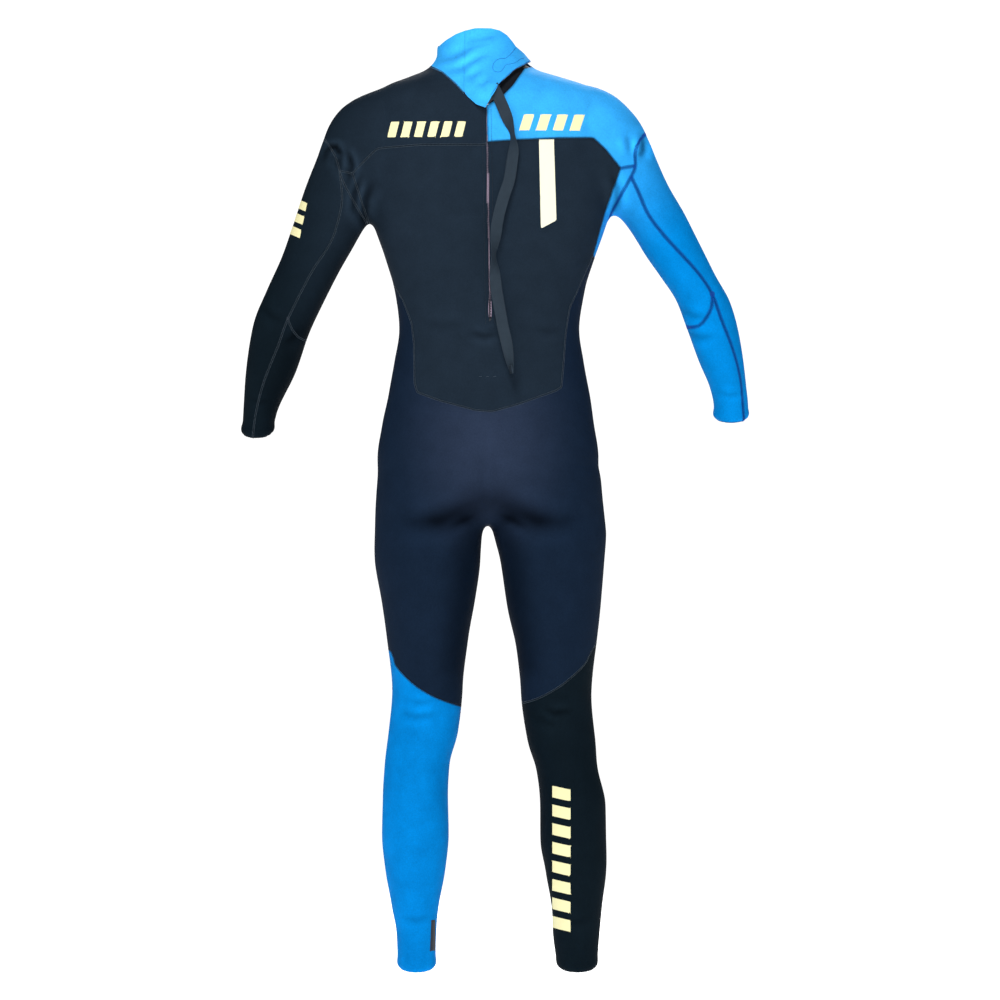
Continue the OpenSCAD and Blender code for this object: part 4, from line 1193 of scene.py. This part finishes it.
def flatlock(crossing, beside, run, width, raise_by, radius):
    """Crossing threads with a row of short stitches along each side of the seam."""
    p, tangent, normal, across = run
    w = width / 2
    shape = ((-1, -0.5, -0.10), (-0.55, -0.25, 0.30), (0.55, 0.25, 0.30), (1, 0.5, -0.10))
    cross = np.stack([p + across * w * a + tangent * b * 1.1 + normal * (raise_by + c)
                      for a, b, c in shape], 1)
    crossing.add(cross, normal, radius)
    for side in (-1, 1):
        running(beside, run, w * side, raise_by, 1.5, radius)


def running(threads, run, offset, raise_by, length=2.2, radius=0.3):
    """One row of short stitches beside a seam."""
    p, tangent, normal, across = run
    shape = ((-0.5, -0.15), (-0.25, 0.28), (0.25, 0.28), (0.5, -0.15))
    paths = np.stack([p + across * offset + tangent * length * a + normal * (raise_by + c)
                      for a, c in shape], 1)
    threads.add(paths, normal, radius)


BLUE_PANELS = ("yoke_right", "sleeve_outer_right", "sleeve_under_right", "forearm_under_right",
               "underarm_right")


def seam_style(names):
    """Threads of a seam: colour and width of the crossing ones, and colour of the two rows beside them."""
    if "knee_pad" in names[0] or "knee_pad" in names[1]:
        return None
    if {"collar_flap", "neck_seal"} & set(names):
        return None
    blue = [n for n in names if n in BLUE_PANELS]
    if len(blue) == 2:
        return ("thread_blue", 5.4, "thread_blue")
    if blue or "lower_leg_left" in names:
        return ("thread_dark", 2.4, "thread_dark")
    if "collar" in names:
        return ("thread_dark", 2.4, "thread_slate")
    return ("thread_dark", 2.4, "thread_grey")


def stitches(skin, name):
    rows = {}
    for names, points in seam_chains(skin, name):
        style = seam_style(names)
        if not style:
            continue
        run = resample(points, 2.1)
        if run is None:
            continue
        cross, width, beside = style
        thick = 0.36 if beside == "thread_blue" else 0.24
        crossing, rim = rows.setdefault(cross, Threads()), rows.setdefault(beside, Threads())
        flatlock(crossing, rim, run, width, -0.35, thick)
    for mat, threads in sorted(rows.items()):
        yield threads.piece("seam_" + mat, mat)


def draw_line(outline, tree, pitch=2.0):
    """Evenly spaced points with their normals where a line in x and z meets a surface seen from behind."""
    found = []
    for x, _, z in smooth_curve(np.array([[x, 0, z] for x, z in outline], float), 1.0):
        hit, normal, _, _ = tree.ray_cast(Vector((x, -400, z)), Vector((0, 1, 0)))
        if hit is not None:
            found.append([*hit, *normal])
    return resample(np.array(found), pitch)


def surface_tree(ob):
    mesh = ob.data
    verts = [(v.co.x / MM, v.co.y / MM, v.co.z / MM + NECK_Z) for v in mesh.vertices]
    return BVHTree.FromPolygons(verts, [tuple(p.vertices) for p in mesh.polygons])


# ---------------------------------------------------------------- the panels
SLOTS = {"black": "neoprene_black", "navy": "neoprene_navy", "blue": "neoprene_blue",
         "deep_blue": "neoprene_blue", "rubber": "knee_rubber", "pale_cream": "print_cream",
         "cream": "print_cream", "dark_print": "print_dark", "dot": "print_dark"}
PANELS = {
    "back_panel": "black", "yoke_left": "black", "yoke_right": "blue", "chest_panel": "black",
    "front_panel": "navy", "seat_panel": "navy", "underarm_left": "black", "underarm_right": "blue",
    "sleeve_outer_left": "black", "sleeve_outer_right": "blue", "sleeve_under_left": "black",
    "sleeve_under_right": "blue", "forearm_under_left": "black", "forearm_under_right": "blue",
    "lower_leg_left": "deep_blue", "lower_leg_right": "black", "knee_pad_left": "rubber",
    "knee_pad_right": "rubber", "collar": "blue"}
PRINT_MATS = {
    "back_stripe": "pale_cream", "back_mark_left": "cream", "back_mark_right": "cream",
    "sleeve_mark": "cream", "calf_mark": "cream", "ankle_mark": "dark_print", "elbow_spots": "dot"}


def on_suit(ob, slot, *nodes, body="suit"):
    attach(ob, body)
    if nodes:
        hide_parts(*nodes)
    return ob


def build_panels(skin, name, surface, seam_dark):
    zip_gap, _ = line_distance(skin.points[:, [0, 2]], [ZIP_TOP, ZIP_END])
    behind = skin.points[:, 1] < 0
    thick = NEOPRENE / MM - 0.9 * np.exp(-(zip_gap / 9) ** 2) * behind
    for node, mat in PANELS.items():
        mask = name == node
        bulge = 1.0 if "knee_pad" in node else 0.0
        ob = shell(node + "_cloth", skin, mask, surface + bulge, surface * 0 - thick, [mat, "lining"],
                   seam_dark if node in BLUE_PANELS else None)
        on_suit(ob, SLOTS[mat], node)
    for node, mat in PRINT_MATS.items():
        xz = skin.centres()[:, [0, 2]]
        mask = np.zeros(len(xz), bool)
        for outline in PRINTS[node]:
            mask |= inside(xz, outline)
        mask &= (skin.side == BACK) & (name != "")
        ob = shell(node + "_print", skin, mask, surface + 0.22, surface - 0.05, [mat, mat])
        if node == "elbow_spots":
            ob.data.materials[1] = MATS["dark_print"]
            on_left = [int(p.center.x < 0) for p in ob.data.polygons]
            ob.data.polygons.foreach_set("material_index", on_left)
        on_suit(ob, SLOTS[mat], node)


def build_hems(skin, name):
    """Bonded bands inside the cuffs."""
    c = skin.centres()
    x, high = c[:, 0], c[:, 2] > KNEE_HEIGHT
    band = (hem_height(c) > 0.2) & (hem_height(c) < 14)
    still = np.zeros(len(skin.points))
    for limb, part in (("wrist", high), ("ankle", ~high)):
        for word, half in (("left", x < 0), ("right", x > 0)):
            node = limb + "_hem_" + word
            mask = band & part & half & (name != "")
            ob = shell(node + "_band", skin, mask, still - 3.3, still - 4.2, ["hem", "hem"])
            on_suit(ob, "hem_tape", node)


def flap_height(points):
    """The height of the flap's inner face: sunk in the suit at its seam, clear of the slider at the tip."""
    x, z = points[:, 0], points[:, 2]
    ramp = np.clip((x - FLAP_SEAM_X) / 26, 0, 1)
    ramp = ramp * ramp * (3 - 2 * ramp)
    over_zip = np.exp(-(((x - 8) / 24) ** 2)) * np.clip((1392 - z) / 22, 0, 1)
    return ramp * (3.2 + 5.4 * over_zip) - NEOPRENE / MM * (1 - ramp)


def build_collar(skin, name, edge):
    still = np.zeros(len(skin.points))
    low = flap_height(skin.points)
    round_edge = -0.9 * np.exp(-(edge / 1.3) ** 2)
    flap = shell("flap_cloth", skin, name == "collar_flap", low + 2.6 + round_edge, low, ["blue", "lining"])
    xz = skin.centres()[:, [0, 2]]
    patch = (skin.side == BACK) & inside(xz, PATCH)
    hook = shell("hook_pad", skin, patch, low - 0.1, low - 1.0, ["hook", "hook"])
    for ob, node, slot in ((flap, "collar_flap", "neoprene_blue"), (hook, "hook_patch", "hook_loop")):
        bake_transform(ob)
        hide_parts(node)
    window = inside(xz, box_area(-24, 1300, 20, 1378))
    rim = signed_distance(xz, ABOVE_RIM_BACK) > 3
    under = np.isin(name, ("neck_seal", "collar_flap")) & ~window & rim & (xz[:, 0] > -34)
    seal = shell("seal_cloth", skin, under, still - 3.4 + round_edge, still - 6.0, ["seal", "lining"])
    on_suit(seal, "neoprene_black", "neck_seal")
    loop = shell("loop_pad", skin, patch, still - 2.6, still - 3.3, ["hook", "hook"])
    on_suit(loop, "hook_loop", "loop_patch")
    tree = surface_tree(flap)
    thread = Threads()
    for outline in (KEY_OUTLINE, [[x, z + 3.4] for x, z in FLAP_EDGE[1:]]):
        run = draw_line(outline, tree)
        running(thread, run, 0, 0, 1.7, 0.3)
    sewn = thread.piece("flap_stitching", "thread_blue")
    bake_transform(sewn)


def build_small_stitches(tree):
    """The tacks in the small of the back and the top-stitching along the zip."""
    grey, dark = Threads(), Threads()
    for x in (-11, 0, 11):
        run = draw_line([[x - 2, 925], [x, 925.5], [x + 2, 925]], tree, 1.4)
        if run is not None:
            running(grey, run, 0, 0, 1.1, 0.2)
    for side in (-1, 1):
        line = [[zip_x(z) + 7 * side, z] for z in (1338, 1300, 1240, 1180, 1120, 1060, 1006)]
        run = draw_line(line, tree, 2.6)
        running(dark, run, 0, 0.02, 1.8, 0.26)
    on_suit(grey.piece("small_tacks", "thread_grey"), "print_dark")
    on_suit(dark.piece("zip_stitching", "thread_dark"), "print_dark")


# ---------------------------------------------------------------- zip
def zip_frame(s):
    """Origin and axes of the zip's own frame at a place s below its top: across, inward and up."""
    top, end = np.array([-2.5, -95.5, 1362]), np.array([3.5, -91.6, 1012])
    up = (top - end) / np.linalg.norm(top - end)
    across = np.array([1, 0, 0]) - up[0] * up
    across /= np.linalg.norm(across)
    return top - s * up, across, np.cross(up, across), up


def rounded_block(name, size, corner, mat, at, axes, taper=1.0):
    """A plate with rounded corners and softened edges: size across, through and along."""
    w, t, h = (v / 2 for v in size)
    outline = []
    for cx, cz, start in ((1, 1, 0), (-1, 1, 90), (-1, -1, 180), (1, -1, 270)):
        for a in np.linspace(start, start + 90, 7):
            narrow = taper if cz < 0 else 1.0
            outline.append(((cx * (w - corner) + corner * math.cos(math.radians(a))) * narrow,
                            cz * (h - corner) + corner * math.sin(math.radians(a))))
    n = len(outline)
    soft = min(t, corner) * 0.55
    layers = ((-t, soft), (-t + soft * 0.3, soft * 0.3), (-t + soft, 0),
              (t - soft, 0), (t - soft * 0.3, soft * 0.3), (t, soft))
    verts = []
    for y, inset in layers:
        for x, z in outline:
            r = math.hypot(x, z)
            k = (r - inset) / r
            verts.append(at + axes[0] * x * k + axes[1] * y + axes[2] * z * k)
    faces = [[i * n + j, i * n + (j + 1) % n, (i + 1) * n + (j + 1) % n, (i + 1) * n + j]
             for i in range(len(layers) - 1) for j in range(n)]
    faces += [list(range(n))[::-1], list(range((len(layers) - 1) * n, len(layers) * n))]
    return mesh_piece(name, np.array(verts), faces, [mat])


def ring_tube(points, radius, sides=10, closed=False):
    """Points and faces of a round wire along a run of points."""
    p = np.array(points, float)
    d = np.gradient(p, axis=0)
    if closed:
        d = np.roll(p, -1, 0) - np.roll(p, 1, 0)
    d /= np.linalg.norm(d, axis=1)[:, None]
    guide = np.array([0.0, 1.0, 0.02])
    u = np.cross(d, guide)
    u /= np.linalg.norm(u, axis=1)[:, None]
    v = np.cross(u, d)
    a = np.arange(sides) * 2 * math.pi / sides
    verts = p[:, None] + radius * (np.cos(a)[None, :, None] * u[:, None]
                                   + np.sin(a)[None, :, None] * v[:, None])
    n = len(p)
    faces = []
    for i in range(n if closed else n - 1):
        k = (i + 1) % n
        faces += [[i * sides + j, i * sides + (j + 1) % sides, k * sides + (j + 1) % sides, k * sides + j]
                  for j in range(sides)]
    if not closed:
        faces += [list(range(sides))[::-1], [(n - 1) * sides + j for j in range(sides)]]
    return verts.reshape(-1, 3), faces


def join(name, objects):
    """The objects as one, keeping their materials."""
    for ob in bpy.context.view_layer.objects:
        ob.select_set(ob in objects)
    bpy.context.view_layer.objects.active = objects[0]
    bpy.ops.object.join()
    objects[0].name = name
    return objects[0]


def build_slider():
    at, across, inward, up = zip_frame(9)
    axes = (across, inward, up)
    parts = [
        rounded_block("slider_outer", (10, 1.3, 15), 3.2, "metal", at - inward * 3.05, axes, 0.8),
        rounded_block("slider_inner", (8, 1.1, 13), 2.6, "metal", at + inward * 4.1, axes, 0.8),
        rounded_block("slider_post", (2, 6.6, 4), 0.9, "metal", at + inward * 0.5 + up * 5.4, axes)]
    bow = [at - inward * (3.0 + 0.9 * math.sin(a)) + up * (-3.2 * math.cos(a))
           for a in np.linspace(0, math.pi, 9)]
    verts, faces = ring_tube(bow, 0.45, 8)
    parts.append(mesh_piece("slider_bail", verts, faces, ["metal"]))
    on_suit(join("slider_assembly", parts), "slider", "zip_slider", body="slider")


def build_puller():
    root, tip = np.array([-1, -100.2, 1350.0]), np.array([14, -100.2, 1364.0])
    along = (tip - root) / np.linalg.norm(tip - root)
    inward = np.array([0, 1.0, 0])
    axes = (np.cross(inward, along), inward, along)
    middle = (root + tip) / 2
    parts = [rounded_block("puller_tab", (7, 1.4, 27), 3.4, "puller", middle, axes)]
    for k in range(5):
        rib = middle + along * (2.4 * k - 5) - inward * 0.75
        parts.append(rounded_block("puller_rib_%d" % k, (5, 0.25, 0.8), 0.12, "puller", rib, axes))
    on_suit(join("puller_ribbed", parts), "puller", "zip_puller", body="puller")


# ---------------------------------------------------------------- leash
def leash_run(step=2.5):
    """Points, directions, width and face directions along the leash, which starts under the flap."""
    p = smooth_curve(np.array(LEASH_START + LEASH, float), step)
    d = np.gradient(p, axis=0)
    d /= np.linalg.norm(d, axis=1)[:, None]
    n = np.array([0, 1.0, 0]) - d[:, 1:2] * d
    n /= np.linalg.norm(n, axis=1)[:, None]
    w = np.cross(n, d)
    z = p[:, 2]
    turn = (62 * np.exp(-((z - 1300) / 24) ** 2) - 60 * np.exp(-((z - 1112) / 26) ** 2)
            + 10 * np.sin((z - 940) / 40) + 80 * np.clip((985 - z) / 55, 0, 1) ** 1.3)
    a = np.radians(turn * np.clip((1358 - z) / 14, 0, 1))[:, None]
    return p, d, w * np.cos(a) + n * np.sin(a), n * np.cos(a) - w * np.sin(a)


def build_leash():
    p, d, w, n = leash_run()
    a, b = LEASH_W / MM / 2, LEASH_T / MM / 2
    face = [(-1, -0.5), (-0.93, -1), (-0.8, -0.86), (-0.4, -0.96), (0, -0.9),
            (0.4, -0.96), (0.8, -0.86), (0.93, -1), (1, -0.5)]
    section = face + [(-u, -v) for u, v in face]
    k = len(section)
    verts = np.stack([p + w * a * u + n * b * v for u, v in section], 1).reshape(-1, 3)
    faces = [[i * k + j, i * k + (j + 1) % k, (i + 1) * k + (j + 1) % k, (i + 1) * k + j]
             for i in range(len(p) - 1) for j in range(k)]
    faces += [list(range(k))[::-1], [(len(p) - 1) * k + j for j in range(k)]]
    strap = mesh_piece("leash_strap", verts, faces, ["strap"])
    on_suit(strap, "webbing", "leash", body="leash")

    tip, up = p[-1], -d[-1]
    axes = (w[-1], n[-1], up)
    middle = tip + up * FOLD_MIDDLE
    fold_block = rounded_block("leash_fold", (18, 2.4, 13.5), 1.2, "strap", middle - n[-1] * 0.3, axes)
    tack = Threads()
    rows = [(x, z) for x in (-6.5, 6.5) for z in np.arange(-4.5, 5, 2.2)]
    rows += [(x, z) for z in (-5.4, 5.0) for x in np.arange(-5.5, 6, 2.2)]
    for x, z in rows:
        centre = tip + up * (FOLD_MIDDLE + z) - n[-1] * 1.55 + w[-1] * x
        line = up if abs(x) == 6.5 else w[-1]
        path = [centre + line * s - n[-1] * h for s, h in TACK_SHAPE]
        tack.add(np.array([path]), -n[-1][None], 0.28)
    fold_end = join("leash_sewn_end", [fold_block, tack.piece("leash_tack", "thread_dark")])
    on_suit(fold_end, "webbing", "leash_end", body="leash")


def dress_cad():
    """Finishes for the CAD pieces that keep their own shape."""
    for node, mat in (("zip_teeth_left", "teeth"), ("zip_teeth_right", "teeth"), ("zip_tape_left", "tape"),
                      ("zip_tape_right", "tape"), ("zip_top_stops", "teeth"), ("zip_bottom_stop", "puller"),
                      ("zip_backing", "lining")):
        ob = bpy.data.objects[node]
        for s in ob.material_slots:
            s.material = MATS[mat]
        if not ob.material_slots:
            ob.data.materials.append(MATS[mat])


camera()
studio()
floor()
build_leash()
co, tri = body_surface()
skin = Skin(co, tri)
panel_of = cut_panels(skin)
edge = seam_distance(skin, panel_of)
surface = -1.0 * np.exp(-(edge / 1.4) ** 2)
build_panels(skin, panel_of, surface, 0.8 * np.exp(-(edge / 2.4) ** 2))
build_hems(skin, panel_of)
build_collar(skin, panel_of, edge)
build_slider()
build_puller()
dress_cad()
for row in stitches(skin, panel_of):
    on_suit(row, "print_dark")
back_skin = (skin.side == BACK) & (panel_of != "")
build_small_stitches(BVHTree.FromPolygons(skin.points[:, :3].tolist(), skin.tri[back_skin].tolist()))
